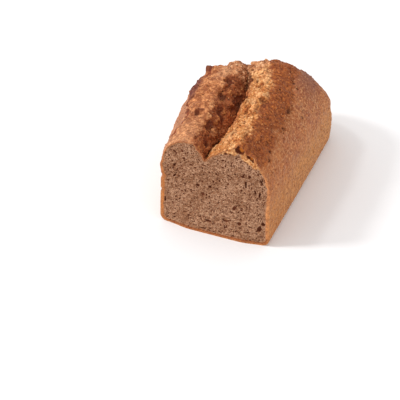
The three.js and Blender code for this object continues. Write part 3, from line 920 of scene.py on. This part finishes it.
def crustTree(material):
    tree, given = newTree("crustRelief", {
        "Clump Size": "NodeSocketFloat", "Clump Height": "NodeSocketFloat",
        "Crumb Size": "NodeSocketFloat", "Crumb Height": "NodeSocketFloat",
        "Hole Spacing": "NodeSocketFloat", "Hole Depth": "NodeSocketFloat",
        "Pit Spacing": "NodeSocketFloat", "Pit Depth": "NodeSocketFloat",
        "Streak Height": "NodeSocketFloat"})
    place = addNode(tree, "GeometryNodeInputPosition").outputs[0]
    wavy = bend(tree, bend(tree, place, *crustDetail["wideWaver"]), *crustDetail["narrowWaver"])
    torn = readAttribute(tree, "rough")
    calm = rise(tree, noiseAt(tree, place, crustDetail["calmSize"], 2.0, 0.5), 0.36, 0.62, 0.4, 1.2)
    smoothShare = calc(tree, "SUBTRACT", 1.0, torn)
    clumps = calc(tree, "SUBTRACT", 0.45, cellsAt(tree, wavy, given["Clump Size"]).outputs["Distance"])
    crumbs = calc(tree, "SUBTRACT", 0.45, cellsAt(tree, wavy, given["Crumb Size"]).outputs["Distance"])
    grain = centre(tree, noiseAt(tree, place, crustDetail["grainSize"], 3.0, 0.65))
    holes = poreDepth(tree, wavy, given["Hole Spacing"], given["Hole Depth"], 0.5, 0.42)
    upright = stretchPlace(tree, place, (1.0, 1.0, 0.35))
    streak = centre(tree, noiseAt(tree, upright, crustDetail["streakSize"], 3.0, 0.6))
    pits = poreDepth(tree, place, given["Pit Spacing"], given["Pit Depth"], 0.4, 0.16, 0.08)
    knob = calc(tree, "ADD", calc(tree, "MULTIPLY_ADD", clumps, 0.7, crumbs), grain)
    rough = calc(tree, "ADD", times(tree, clumps, given["Clump Height"]),
                 times(tree, calc(tree, "ADD", crumbs, grain), given["Crumb Height"]))
    rough = calc(tree, "SUBTRACT", times(tree, rough, calm), holes)
    even = times(tree, calc(tree, "ADD", streak, times(tree, grain, 0.5)), given["Streak Height"])
    even = calc(tree, "SUBTRACT", even, pits)
    out = calc(tree, "ADD", times(tree, rough, rise(tree, torn, 0.0, 1.0, 0.1, 1.0)),
               times(tree, even, smoothShare))
    push = addNode(tree, "GeometryNodeInputNamedAttribute", {"Name": "push"},
                   data_type="FLOAT_VECTOR").outputs["Attribute"]
    holeShare = times(tree, calc(tree, "DIVIDE", holes, given["Hole Depth"]), torn)
    pitShare = times(tree, calc(tree, "DIVIDE", pits, given["Pit Depth"]), smoothShare)
    kept = keepAttribute(tree, given["Geometry"], "knob", knob)
    # the pit share is also the share of painted shade in the pits
    kept = keepAttribute(tree, kept, "pit", calc(tree, "MAXIMUM", holeShare, pitShare))
    closeTree(tree, shiftAlong(tree, kept, out, push), material)
    return tree


crumbDetail = {
    # metres: size and reach of the two wavers, then sizes and heights of the finest forms
    "wideWaver": (0.007, 0.005),
    "narrowWaver": (0.0018, 0.0011),
    "seamSize": 0.0021,
    "grainSize": 0.0011,
    "grainHeight": 0.0005,
    "tornSize": 0.0021,
    "tornHeight": 0.0011,
    "darkestPore": 0.0012,
}


def crumbTree(material):
    tree, given = newTree("crumbPores", {
        "Wide Pore": "NodeSocketFloat", "Wide Depth": "NodeSocketFloat", "Round Pore": "NodeSocketFloat",
        "Round Depth": "NodeSocketFloat", "Fine Pore": "NodeSocketFloat", "Fine Depth": "NodeSocketFloat",
        "Seam Depth": "NodeSocketFloat", "Seed": "NodeSocketFloat"})
    place = addNode(tree, "GeometryNodeInputPosition").outputs[0]
    shift = addNode(tree, "ShaderNodeCombineXYZ", {0: given["Seed"], 1: given["Seed"], 2: given["Seed"]}).outputs[0]
    seeded = vectorCalc(tree, "ADD", place, shift)
    wavy = bend(tree, bend(tree, seeded, *crumbDetail["wideWaver"]), *crumbDetail["narrowWaver"])
    x, _, z = addNode(tree, "ShaderNodeSeparateXYZ", {0: place}).outputs
    atSides = rise(tree, calc(tree, "ABSOLUTE", x), 0.024, 0.04)
    atBase = rise(tree, z, 0.03, 0.014)

    def poresAlong(shares, size, depth, share, widest):
        return poreDepth(tree, stretchPlace(tree, wavy, shares), size, depth, share, widest)

    def toRegion(size, depth, share, widest):
        anyWay = poresAlong((1.0, 1.0, 0.9), size, depth, share, widest)
        upright = poresAlong((1.55, 1.0, 0.62), size, depth, share, widest)
        level = poresAlong((0.6, 1.0, 1.6), size, depth, share, widest)
        mixed = calc(tree, "MULTIPLY_ADD", atSides, calc(tree, "SUBTRACT", upright, anyWay), anyWay)
        return calc(tree, "MULTIPLY_ADD", atBase, calc(tree, "SUBTRACT", level, mixed), mixed)

    wide = toRegion(given["Wide Pore"], given["Wide Depth"], 0.32, 0.3)
    middling = toRegion(given["Round Pore"], given["Round Depth"], 0.95, 0.43)
    fine = poresAlong((1.0, 1.0, 1.0), given["Fine Pore"], given["Fine Depth"], 0.85, 0.46)
    worm = calc(tree, "ABSOLUTE", centre(tree, noiseAt(tree, wavy, crumbDetail["seamSize"], 2.0, 0.5)))
    seams = times(tree, rise(tree, worm, 0.06, 0.0), given["Seam Depth"])
    deep = calc(tree, "MAXIMUM", calc(tree, "MAXIMUM", wide, middling), calc(tree, "MAXIMUM", fine, seams))
    deep = calc(tree, "MAXIMUM", deep, times(tree, readAttribute(tree, "largePore"), mm))
    inside = rise(tree, readAttribute(tree, "rimDistance"), 0.15, 1.3)
    inside = times(tree, inside, calc(tree, "MULTIPLY_ADD", readAttribute(tree, "strip"), -0.75, 1.0))
    deep = times(tree, deep, inside)
    bubble = times(tree, readAttribute(tree, "bubble"), mm)
    clearOfRim = rise(tree, readAttribute(tree, "rimDistance"), 0.0, 0.4)
    deep = calc(tree, "MAXIMUM", deep, times(tree, bubble, clearOfRim))
    grain = calc(tree, "SUBTRACT", noiseAt(tree, place, crumbDetail["grainSize"], 3.0, 0.6), 0.45)
    grain = times(tree, grain, crumbDetail["grainHeight"])
    grain = times(tree, grain, inside)
    torn = centre(tree, cellsAt(tree, wavy, crumbDetail["tornSize"]).outputs["Distance"])
    torn = times(tree, times(tree, torn, crumbDetail["tornHeight"]), readAttribute(tree, "strip"))
    # the depth of the pores and seams, kept as the share of painted shade in them
    kept = keepAttribute(tree, given["Geometry"], "pore", calc(tree, "DIVIDE", deep, crumbDetail["darkestPore"]))
    moved = calc(tree, "ADD", calc(tree, "ADD", deep, grain), torn)
    closeTree(tree, shiftAlong(tree, kept, moved, (0.0, 1.0, 0.0)), material)
    return tree


def linear(hexColour):
    # a colour as seen on a screen, as the render's light values
    parts = [int(hexColour[k:k + 2], 16) / 255 for k in (1, 3, 5)]
    return tuple(c / 12.92 if c <= 0.04045 else ((c + 0.055) / 1.055) ** 2.4 for c in parts) + (1.0,)


def newMaterial(name):
    material = bpy.data.materials.new(name)
    material.use_nodes = True
    material.node_tree.nodes.clear()
    return material, material.node_tree


def closeMaterial(tree, colour, roughness, height, strength, distance, specular=0.3):
    bump = addNode(tree, "ShaderNodeBump", {"Height": height, "Strength": strength, "Distance": distance})
    shader = addNode(tree, "ShaderNodeBsdfPrincipled", {
        "Base Color": colour, "Roughness": roughness, "Normal": bump.outputs[0],
        "Specular IOR Level": specular})
    addNode(tree, "ShaderNodeOutputMaterial", {0: shader.outputs[0]})


def mixColour(tree, share, first, second, way="MIX"):
    made = addNode(tree, "ShaderNodeMix", {0: share, 6: first, 7: second}, data_type="RGBA", blend_type=way)
    return made.outputs[2]


def attributeOf(tree, name):
    return addNode(tree, "ShaderNodeAttribute", attribute_name=name).outputs["Fac"]


crustFinish = {
    "sideHigh": "#b67446",
    "sideHighRed": "#ac673f",
    "sideLow": "#bc7b42",
    "sideLowPale": "#cf9259",
    "sideSpot": "#8f4a2a",
    "sidePale": "#d49a68",
    "sideFront": "#b06a35",
    "leftOuter": "#b88060",
    "topBrown": "#88421a",
    "topGold": "#b4682f",
    "ridge": "#d08a4a",
    "ridgeLight": "#fdc98e",
    "ridgeRed": "#b0551f",
    "plateau": "#a05a30",
    "plateauPale": "#d8935f",
    "plateauEnds": "#dfae84",
    "flank": "#9a542b",
    "flankGold": "#cd884c",
    "deep": "#cc7c4a",
    "valley": "#c8895c",
    "valleyPale": "#f6c89c",
    # darker crust, and painted shade in the hollows
    "burntAndShade": "#64270f",
    "purple": "#85503c",
    # paler crust, with a painted highlight at one of the pale spots
    "pale": "#eab07a",
    "lip": "#6c362c",
    "edgeLine": "#823a1e",
    # dark flecks, and the painted shade in the pits and hollows
    "speckAndPitShade": "#42190b",
    "fleck": "#e8b480",
    "rim": "#8c441c",
    "rimPale": "#d88f58",
    "rimLeft": "#cc7a38",
    # colour of the painted shade between the clumps
    "gap": "#6a2c10",
}


crustNoise = {
    # size in metres, detail and roughness
    "broad": (0.014, 3.0, 0.55),
    "patches": (0.0085, 2.0, 0.5),
    "mottle": (0.0045, 4.0, 0.65),
    "spots": (0.0021, 3.0, 0.6),
    "fine": (0.0009, 3.0, 0.65),
    "upright": (0.0024, 3.0, 0.6),
}
crustFleckSize = 0.0024


def crustMaterial(finish):
    tone = {name: linear(value) for name, value in finish.items()}
    material, tree = newMaterial("bakedCrust")
    place = addNode(tree, "ShaderNodeTexCoord").outputs["Object"]
    broad, patches, mottle, spots, fine = [noiseAt(tree, place, *crustNoise[name])
                                           for name in ("broad", "patches", "mottle", "spots", "fine")]
    upright = noiseAt(tree, stretchPlace(tree, place, (1.0, 1.0, 0.3)), *crustNoise["upright"])
    across, along, height = addNode(tree, "ShaderNodeSeparateXYZ", {0: place}).outputs
    knob = attributeOf(tree, "knob")
    jitter = calc(tree, "MULTIPLY_ADD", centre(tree, mottle), 1.1, times(tree, centre(tree, spots), 0.9))

    def zoneShare(name, low=0.3, high=0.7):
        return rise(tree, calc(tree, "ADD", attributeOf(tree, name), jitter), low, high)

    high = mixColour(tree, rise(tree, broad, 0.4, 0.62), tone["sideHigh"], tone["sideHighRed"])
    low = mixColour(tree, rise(tree, upright, 0.35, 0.65), tone["sideLow"], tone["sideLowPale"])
    lowShare = rise(tree, calc(tree, "MULTIPLY_ADD", jitter, -0.02, height), 0.066, 0.03)
    colour = mixColour(tree, lowShare, high, low)
    colour = mixColour(tree, rise(tree, spots, 0.51, 0.65, 0.0, 0.85), colour, tone["sideSpot"])
    colour = mixColour(tree, rise(tree, spots, 0.48, 0.36, 0.0, 0.75), colour, tone["sidePale"])
    colour = mixColour(tree, rise(tree, along, 0.01, -0.09, 0.0, 0.3), colour, tone["sideFront"])
    colour = mixColour(tree, times(tree, zoneShare("purple", 0.15, 1.05), 0.85), colour, tone["purple"])
    plateau = calc(tree, "MULTIPLY_ADD", centre(tree, spots), 0.75,
                   calc(tree, "MULTIPLY_ADD", knob, 0.18, mottle))
    plateau = mixColour(tree, rise(tree, plateau, 0.34, 0.7), tone["plateau"], tone["plateauPale"])
    atBack = times(tree, rise(tree, along, -0.002, 0.03, 0.0, 0.42), rise(tree, across, -0.046, -0.036))
    ends = calc(tree, "MAXIMUM", rise(tree, along, -0.035, -0.085, 0.0, 0.24), atBack)
    plateau = mixColour(tree, ends, plateau, tone["plateauEnds"])
    colour = mixColour(tree, zoneShare("plateau", 0.2, 0.85), colour, plateau)
    colour = mixColour(tree, times(tree, zoneShare("leftOuter", 0.1, 1.0), 0.8), colour, tone["leftOuter"])
    colour = mixColour(tree, times(tree, zoneShare("edgeLine", 0.35, 0.8), 0.9), colour, tone["edgeLine"])
    top = mixColour(tree, rise(tree, spots, 0.4, 0.66), tone["topBrown"], tone["topGold"])
    colour = mixColour(tree, zoneShare("topBrown", 0.2, 0.85), colour, top)
    # the flank turns gold on the tops of its clumps: paler crumbs with a painted highlight there
    flank = mixColour(tree, rise(tree, knob, 0.0, 0.5), tone["flank"], tone["flankGold"])
    colour = mixColour(tree, zoneShare("flank", 0.15, 0.85), colour, flank)
    # the ridge is lighter where its clumps stand high: paler crumbs with a painted highlight, plus paler patches
    # from noise
    lightShare = rise(tree, calc(tree, "MULTIPLY_ADD", centre(tree, spots), 1.2, knob), -0.05, 0.45)
    ridge = mixColour(tree, lightShare, tone["ridge"], tone["ridgeLight"])
    redShare = calc(tree, "MAXIMUM", rise(tree, spots, 0.56, 0.66), rise(tree, mottle, 0.53, 0.64, 0.0, 0.75))
    ridge = mixColour(tree, times(tree, redShare, 0.65), ridge, tone["ridgeRed"])
    ridge = mixColour(tree, rise(tree, patches, 0.55, 0.66, 0.0, 0.5), ridge, tone["ridgeLight"])
    ridge = mixColour(tree, rise(tree, patches, 0.46, 0.36, 0.0, 0.45), ridge, tone["ridgeRed"])
    ridge = mixColour(tree, rise(tree, along, 0.0, 0.045, 0.0, 0.35), ridge, tone["ridgeLight"])
    colour = mixColour(tree, zoneShare("ridge", 0.15, 0.9), colour, ridge)
    colour = mixColour(tree, times(tree, zoneShare("deep", 0.35, 0.9), 0.9), colour, tone["deep"])
    # the valley is paler on the tops of its clumps: paler crumbs with a painted highlight
    valley = mixColour(tree, rise(tree, knob, -0.1, 0.5), tone["valley"], tone["valleyPale"])
    colour = mixColour(tree, times(tree, zoneShare("valley"), 0.85), colour, valley)
    colour = mixColour(tree, times(tree, zoneShare("lip", 0.35, 1.0), 0.9), colour, tone["lip"])
    # paler crust and a painted highlight at the pale spots, stronger on the raised parts
    paleShare = times(tree, zoneShare("paleSpot", 0.3, 1.1), rise(tree, knob, -0.3, 0.4, 0.15, 0.6))
    colour = mixColour(tree, paleShare, colour, tone["pale"])
    # painted shade in the hollows, the burst bubble and under the crest, and darker crust on the left lobe, at the
    # dark spots
    colour = mixColour(tree, times(tree, zoneShare("darkSpot", 0.35, 0.9), 0.8), colour, tone["burntAndShade"])
    # painted shade in the crevices between the clumps, where the relief is low; less of it in the split
    gap = times(tree, rise(tree, knob, 0.0, -0.55), rise(tree, attributeOf(tree, "rough"), 0.1, 0.8, 0.0, 0.7))
    gap = times(tree, gap, calc(tree, "MULTIPLY_ADD", attributeOf(tree, "deep"), -0.7, 1.0))
    colour = mixColour(tree, gap, colour, tone["gap"])
    # painted shade in the pits and hollows, and dark spots along the ledge
    dark = times(tree, attributeOf(tree, "pit"), 0.75)
    dark = calc(tree, "MAXIMUM", dark, times(tree, zoneShare("hollow", 0.5, 1.0), 0.75))
    shelfSpots = times(tree, attributeOf(tree, "shelf"), rise(tree, mottle, 0.52, 0.62))
    dark = calc(tree, "MAXIMUM", dark, times(tree, shelfSpots, 0.6))
    colour = mixColour(tree, dark, colour, tone["speckAndPitShade"])
    flecks = cellsAt(tree, place, crustFleckSize)
    draws = addNode(tree, "ShaderNodeSeparateColor", {0: flecks.outputs["Color"]}).outputs
    spot = rise(tree, flecks.outputs["Distance"], 0.34, 0.2)
    pale = times(tree, rise(tree, draws[1], 0.76, 0.84), spot)
    brown = times(tree, rise(tree, draws[0], 0.82, 0.9), spot)
    colour = mixColour(tree, times(tree, pale, 0.34), colour, tone["fleck"])
    colour = mixColour(tree, times(tree, brown, 0.5), colour, tone["speckAndPitShade"])
    rimShare = calc(tree, "ADD", rise(tree, height, 0.003, 0.012, -0.12, 0.18), mottle)
    rimShare = calc(tree, "MULTIPLY_ADD", centre(tree, spots), 0.7, rimShare)
    rimShare = calc(tree, "ADD", rimShare, rise(tree, across, 0.03, 0.046, -0.06, 0.16))
    rimTone = mixColour(tree, rise(tree, rimShare, 0.5, 0.98), tone["rim"], tone["rimPale"])
    rimTone = mixColour(tree, rise(tree, across, -0.04, -0.05, 0.0, 0.7), rimTone, tone["rimLeft"])
    colour = mixColour(tree, attributeOf(tree, "rimFace"), colour, rimTone)
    shade = times(tree, rise(tree, fine, 0.25, 0.75, 0.74, 1.22), rise(tree, mottle, 0.3, 0.7, 0.88, 1.12))
    shade = times(tree, shade, calc(tree, "MULTIPLY_ADD", attributeOf(tree, "grainTone"), 0.32, 1.0))
    grey = addNode(tree, "ShaderNodeCombineColor", {0: shade, 1: shade, 2: shade}).outputs[0]
    colour = mixColour(tree, 1.0, colour, grey, "MULTIPLY")
    roughness = rise(tree, mottle, 0.3, 0.7, 0.6, 0.86)
    bumps = calc(tree, "ADD", times(tree, fine, 0.6), spots)
    closeMaterial(tree, colour, roughness, bumps, 0.55, 0.0007)
    return material


crumbFinish = {
    "crumb": "#916345",
    "crumbPale": "#c09374",
    # painted shade in the pores
    "pore": "#653018",
    "bran": "#8a4a26",
    "germ": "#dcb48c",
    "rim": "#b57a4c",
    "strip": "#b06a36",
    "stripPale": "#e8b27a",
    "bubble": "#c8742a",
    # painted shade around the edges of the open bubbles
    "bubblePaintedShade": "#5e2810",
}


crumbNoise = {
    # size in metres, detail and roughness
    "broad": (0.012, 3.0, 0.55),
    "spots": (0.0019, 3.0, 0.65),
    "fine": (0.0008, 3.0, 0.6),
}
crumbFleckSize = 0.0017


def crumbMaterial(finish):
    tone = {name: linear(value) for name, value in finish.items()}
    material, tree = newMaterial("breadCrumb")
    place = addNode(tree, "ShaderNodeTexCoord").outputs["Object"]
    broad, spots, fine = [noiseAt(tree, place, *crumbNoise[name]) for name in ("broad", "spots", "fine")]
    share = calc(tree, "MULTIPLY_ADD", centre(tree, broad), 0.4, spots)
    colour = mixColour(tree, rise(tree, share, 0.36, 0.66), tone["crumb"], tone["crumbPale"])
    flecks = cellsAt(tree, place, crumbFleckSize)
    draws = addNode(tree, "ShaderNodeSeparateColor", {0: flecks.outputs["Color"]}).outputs
    spot = rise(tree, flecks.outputs["Distance"], 0.38, 0.2)
    bran = times(tree, rise(tree, draws[0], 0.74, 0.84), spot)
    germ = times(tree, rise(tree, draws[1], 0.76, 0.86), spot)
    colour = mixColour(tree, times(tree, bran, 0.65), colour, tone["bran"])
    colour = mixColour(tree, times(tree, germ, 0.7), colour, tone["germ"])
    rim = rise(tree, attributeOf(tree, "rimDistance"), 0.1, 1.6, 0.55, 0.0)
    colour = mixColour(tree, rim, colour, tone["rim"])
    torn = mixColour(tree, rise(tree, spots, 0.38, 0.64), tone["strip"], tone["stripPale"])
    colour = mixColour(tree, attributeOf(tree, "strip"), colour, torn)
    # painted shade: the crumb darkens with the depth of its pores and seams
    pore = rise(tree, attributeOf(tree, "pore"), 0.03, 0.7, 0.0, 0.95)
    colour = mixColour(tree, pore, colour, tone["pore"])
    # painted light and shade in the open bubbles: orange where light would reach their floor, painted shade around
    # their edges
    bubble = attributeOf(tree, "bubble")
    shadeShare = calc(tree, "MULTIPLY_ADD", centre(tree, spots), 0.8, attributeOf(tree, "bubbleShade"))
    bubbleTone = mixColour(tree, rise(tree, shadeShare, 0.3, 0.75), tone["bubble"], tone["bubblePaintedShade"])
    colour = mixColour(tree, rise(tree, bubble, 0.2, 1.2, 0.0, 0.9), colour, bubbleTone)
    shade = rise(tree, fine, 0.25, 0.75, 0.74, 1.24)
    grey = addNode(tree, "ShaderNodeCombineColor", {0: shade, 1: shade, 2: shade}).outputs[0]
    colour = mixColour(tree, 1.0, colour, grey, "MULTIPLY")
    closeMaterial(tree, colour, 0.9, fine, 0.35, 0.0005, 0.2)
    return material


crustLook = crustMaterial(crustFinish)
crumbLook = crumbMaterial(crumbFinish)
reliefTree = crustTree(crustLook)
crustInputs = {
    "Clump Size": 0.0066, "Clump Height": 0.0024, "Crumb Size": 0.0021, "Crumb Height": 0.0012,
    "Hole Spacing": 0.0036, "Hole Depth": 0.0012, "Pit Spacing": 0.0068, "Pit Depth": 0.0006,
    "Streak Height": 0.0005,
}
crumbInputs = {
    "Wide Pore": 0.0072, "Wide Depth": 0.0014, "Round Pore": 0.0029, "Round Depth": 0.0011,
    "Fine Pore": 0.0019, "Fine Depth": 0.0009, "Seam Depth": 0.0005, "Seed": 4.0,
}
for half in (rightCrust, leftCrust):
    runTree(half, reliefTree, crustInputs)
print("crust relief made")
runTree(crumb, crumbTree(crumbLook), crumbInputs)
print("crumb pores made")


crumbScatter = {
    "name": "looseCrumb",
    "Share": "grainShare",
    "Density": 420000.0,
    "Smallest": 0.00028,
    "Largest": 0.00105,
    "Flatness": 0.75,
    "Roughness": 0.0006,
    "Sink": 0.15,
    "Seed": 11,
}
flakeScatter = {
    "name": "branFlake",
    "Share": "flakeShare",
    "Density": 90000.0,
    "Smallest": 0.00035,
    "Largest": 0.0010,
    "Flatness": 0.22,
    "Roughness": 0.0003,
    "Sink": 0.0,
    "Seed": 27,
}


lumpTurn = 6.283             # radians that a grain may turn about its normal
lumpLean = 0.45              # radians that it may lean either way
lumpNoiseScale = 1400.0


def scatterTree(name, shareName, material):
    tree, given = newTree(name, {
        "First": "NodeSocketObject", "Second": "NodeSocketObject", "Density": "NodeSocketFloat",
        "Smallest": "NodeSocketFloat", "Largest": "NodeSocketFloat", "Flatness": "NodeSocketFloat",
        "Roughness": "NodeSocketFloat", "Sink": "NodeSocketFloat", "Seed": "NodeSocketInt"})
    grounds = [addNode(tree, "GeometryNodeObjectInfo", {"Object": given[label]}).outputs["Geometry"]
               for label in ("First", "Second")]
    ground = tree.nodes.new("GeometryNodeJoinGeometry")
    for geometry in grounds:
        tree.links.new(geometry, ground.inputs[0])
    share = times(tree, readAttribute(tree, shareName), given["Density"])
    spread = addNode(tree, "GeometryNodeDistributePointsOnFaces", {
        "Mesh": ground.outputs[0], "Density": share, "Seed": given["Seed"]}, distribute_method="RANDOM")
    onDivider = calc(tree, "GREATER_THAN", readAttribute(tree, "divider"), 0.001)   # hidden inside the loaf
    shown = addNode(tree, "GeometryNodeDeleteGeometry", {
        "Geometry": spread.outputs["Points"], "Selection": onDivider}, domain="POINT").outputs[0]
    lump = addNode(tree, "GeometryNodeMeshUVSphere", {"Segments": 6, "Rings": 3, "Radius": 1.0})

    def draw(seed, kind="FLOAT", low=0.0, high=1.0):
        node = addNode(tree, "FunctionNodeRandomValue", {"Seed": seed}, data_type=kind)
        used = [socket for socket in node.inputs if socket.enabled]
        used[0].default_value, used[1].default_value = low, high
        return [socket for socket in node.outputs if socket.enabled][0]

    sizeDraw = calc(tree, "POWER", draw(1), 2.0)
    sizeRange = calc(tree, "SUBTRACT", given["Largest"], given["Smallest"])
    size = calc(tree, "MULTIPLY_ADD", sizeDraw, sizeRange, given["Smallest"])
    tall = times(tree, size, given["Flatness"])
    longer = times(tree, size, calc(tree, "MULTIPLY_ADD", draw(2), 0.9, 0.8))
    scale = addNode(tree, "ShaderNodeCombineXYZ", {0: longer, 1: size, 2: tall}).outputs[0]
    turn = addNode(tree, "ShaderNodeCombineXYZ", {
        0: calc(tree, "MULTIPLY_ADD", draw(3), 2 * lumpLean, -lumpLean),
        1: calc(tree, "MULTIPLY_ADD", draw(4), 2 * lumpLean, -lumpLean),
        2: times(tree, draw(5), lumpTurn)}).outputs[0]
    turned = addNode(tree, "FunctionNodeRotateRotation", {0: spread.outputs["Rotation"], 1: turn},
                     rotation_space="LOCAL").outputs[0]
    sunk = times(tree, times(tree, tall, given["Sink"]), -1.0)
    points = shiftAlong(tree, shown, sunk, spread.outputs["Normal"])
    placed = addNode(tree, "GeometryNodeInstanceOnPoints", {
        "Points": points, "Instance": lump.outputs[0], "Rotation": turned, "Scale": scale}).outputs[0]
    toned = addNode(tree, "GeometryNodeStoreNamedAttribute", {
        "Geometry": placed, "Name": "grainTone", "Value": draw(6, "FLOAT", -1.0, 1.0)},
        data_type="FLOAT", domain="INSTANCE").outputs[0]
    whole = addNode(tree, "GeometryNodeRealizeInstances", {0: toned}).outputs[0]
    place = addNode(tree, "GeometryNodeInputPosition").outputs[0]
    rough = addNode(tree, "ShaderNodeTexNoise", {"Vector": place, "Scale": lumpNoiseScale, "Detail": 1.0}).outputs[1]
    shaken = shiftAlong(tree, whole, given["Roughness"], vectorCalc(tree, "SUBTRACT", rough, (0.5, 0.5, 0.5)))
    smoothed = addNode(tree, "GeometryNodeSetShadeSmooth", {0: shaken}).outputs[0]
    closeTree(tree, smoothed, material)
    return tree


def scatter(settings, material):
    made = bpy.data.objects.new(settings["name"], bpy.data.meshes.new(settings["name"]))
    bpy.context.scene.collection.objects.link(made)
    values = {key: value for key, value in settings.items() if key not in ("name", "Share")}
    runTree(made, scatterTree(settings["name"], settings["Share"], material),
            {"First": rightCrust, "Second": leftCrust, **values})
    print(settings["name"], len(made.data.polygons), "faces")
    return made


looseCrumb = scatter(crumbScatter, crustLook)
branFlake = scatter(flakeScatter, crustLook)


stageSettings = {
    "floorSize": 12.0,
    "floorTone": (0.93, 0.946, 0.962, 1.0),
    "skyTone": (1.0, 0.965, 0.95, 1.0),
    "skyStrength": 0.89,
    "aim": (0.0, 0.0, 0.04),
    "lamps": [
        {"name": "lowWindow", "turn": 207.0, "height": 43.0, "distance": 2.2, "size": 0.3, "power": 17.0},
        {"name": "highWindow", "turn": 204.0, "height": 60.0, "distance": 2.2, "size": 0.25, "power": 6.0},
    ],
}


def makeStage(settings):
    half = settings["floorSize"] / 2
    data = bpy.data.meshes.new("floor")
    data.from_pydata([(-half, -half, 0), (half, -half, 0), (half, half, 0), (-half, half, 0)], [], [(0, 1, 2, 3)])
    floor = bpy.data.objects.new("floor", data)
    bpy.context.scene.collection.objects.link(floor)
    material, tree = newMaterial("paleFloor")
    shader = addNode(tree, "ShaderNodeBsdfDiffuse", {"Color": settings["floorTone"]})
    addNode(tree, "ShaderNodeOutputMaterial", {0: shader.outputs[0]})
    data.materials.append(material)

    world = bpy.data.worlds.new("studio")
    world.use_nodes = True
    world.node_tree.nodes["Background"].inputs[0].default_value = settings["skyTone"]
    world.node_tree.nodes["Background"].inputs[1].default_value = settings["skyStrength"]
    bpy.context.scene.world = world

    for each in settings["lamps"]:
        light = bpy.data.lights.new(each["name"], "AREA")
        light.size = each["size"]
        light.energy = each["power"]
        lamp = bpy.data.objects.new(each["name"], light)
        turn, height = math.radians(each["turn"]), math.radians(each["height"])
        towards = Vector((math.cos(turn) * math.cos(height), math.sin(turn) * math.cos(height), math.sin(height)))
        lamp.location = Vector(settings["aim"]) + towards * each["distance"]
        lamp.rotation_mode = "QUATERNION"
        lamp.rotation_quaternion = (-towards).to_track_quat("-Z", "Y")
        bpy.context.scene.collection.objects.link(lamp)
    bpy.context.scene.view_settings.view_transform = "Standard"


makeStage(stageSettings)

for piece, slot in ((rightCrust, "crust"), (leftCrust, "crust"), (crumb, "crumb"),
                    (looseCrumb, "crust"), (branFlake, "crust")):
    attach(piece, "root")
    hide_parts("spelt_loaf")
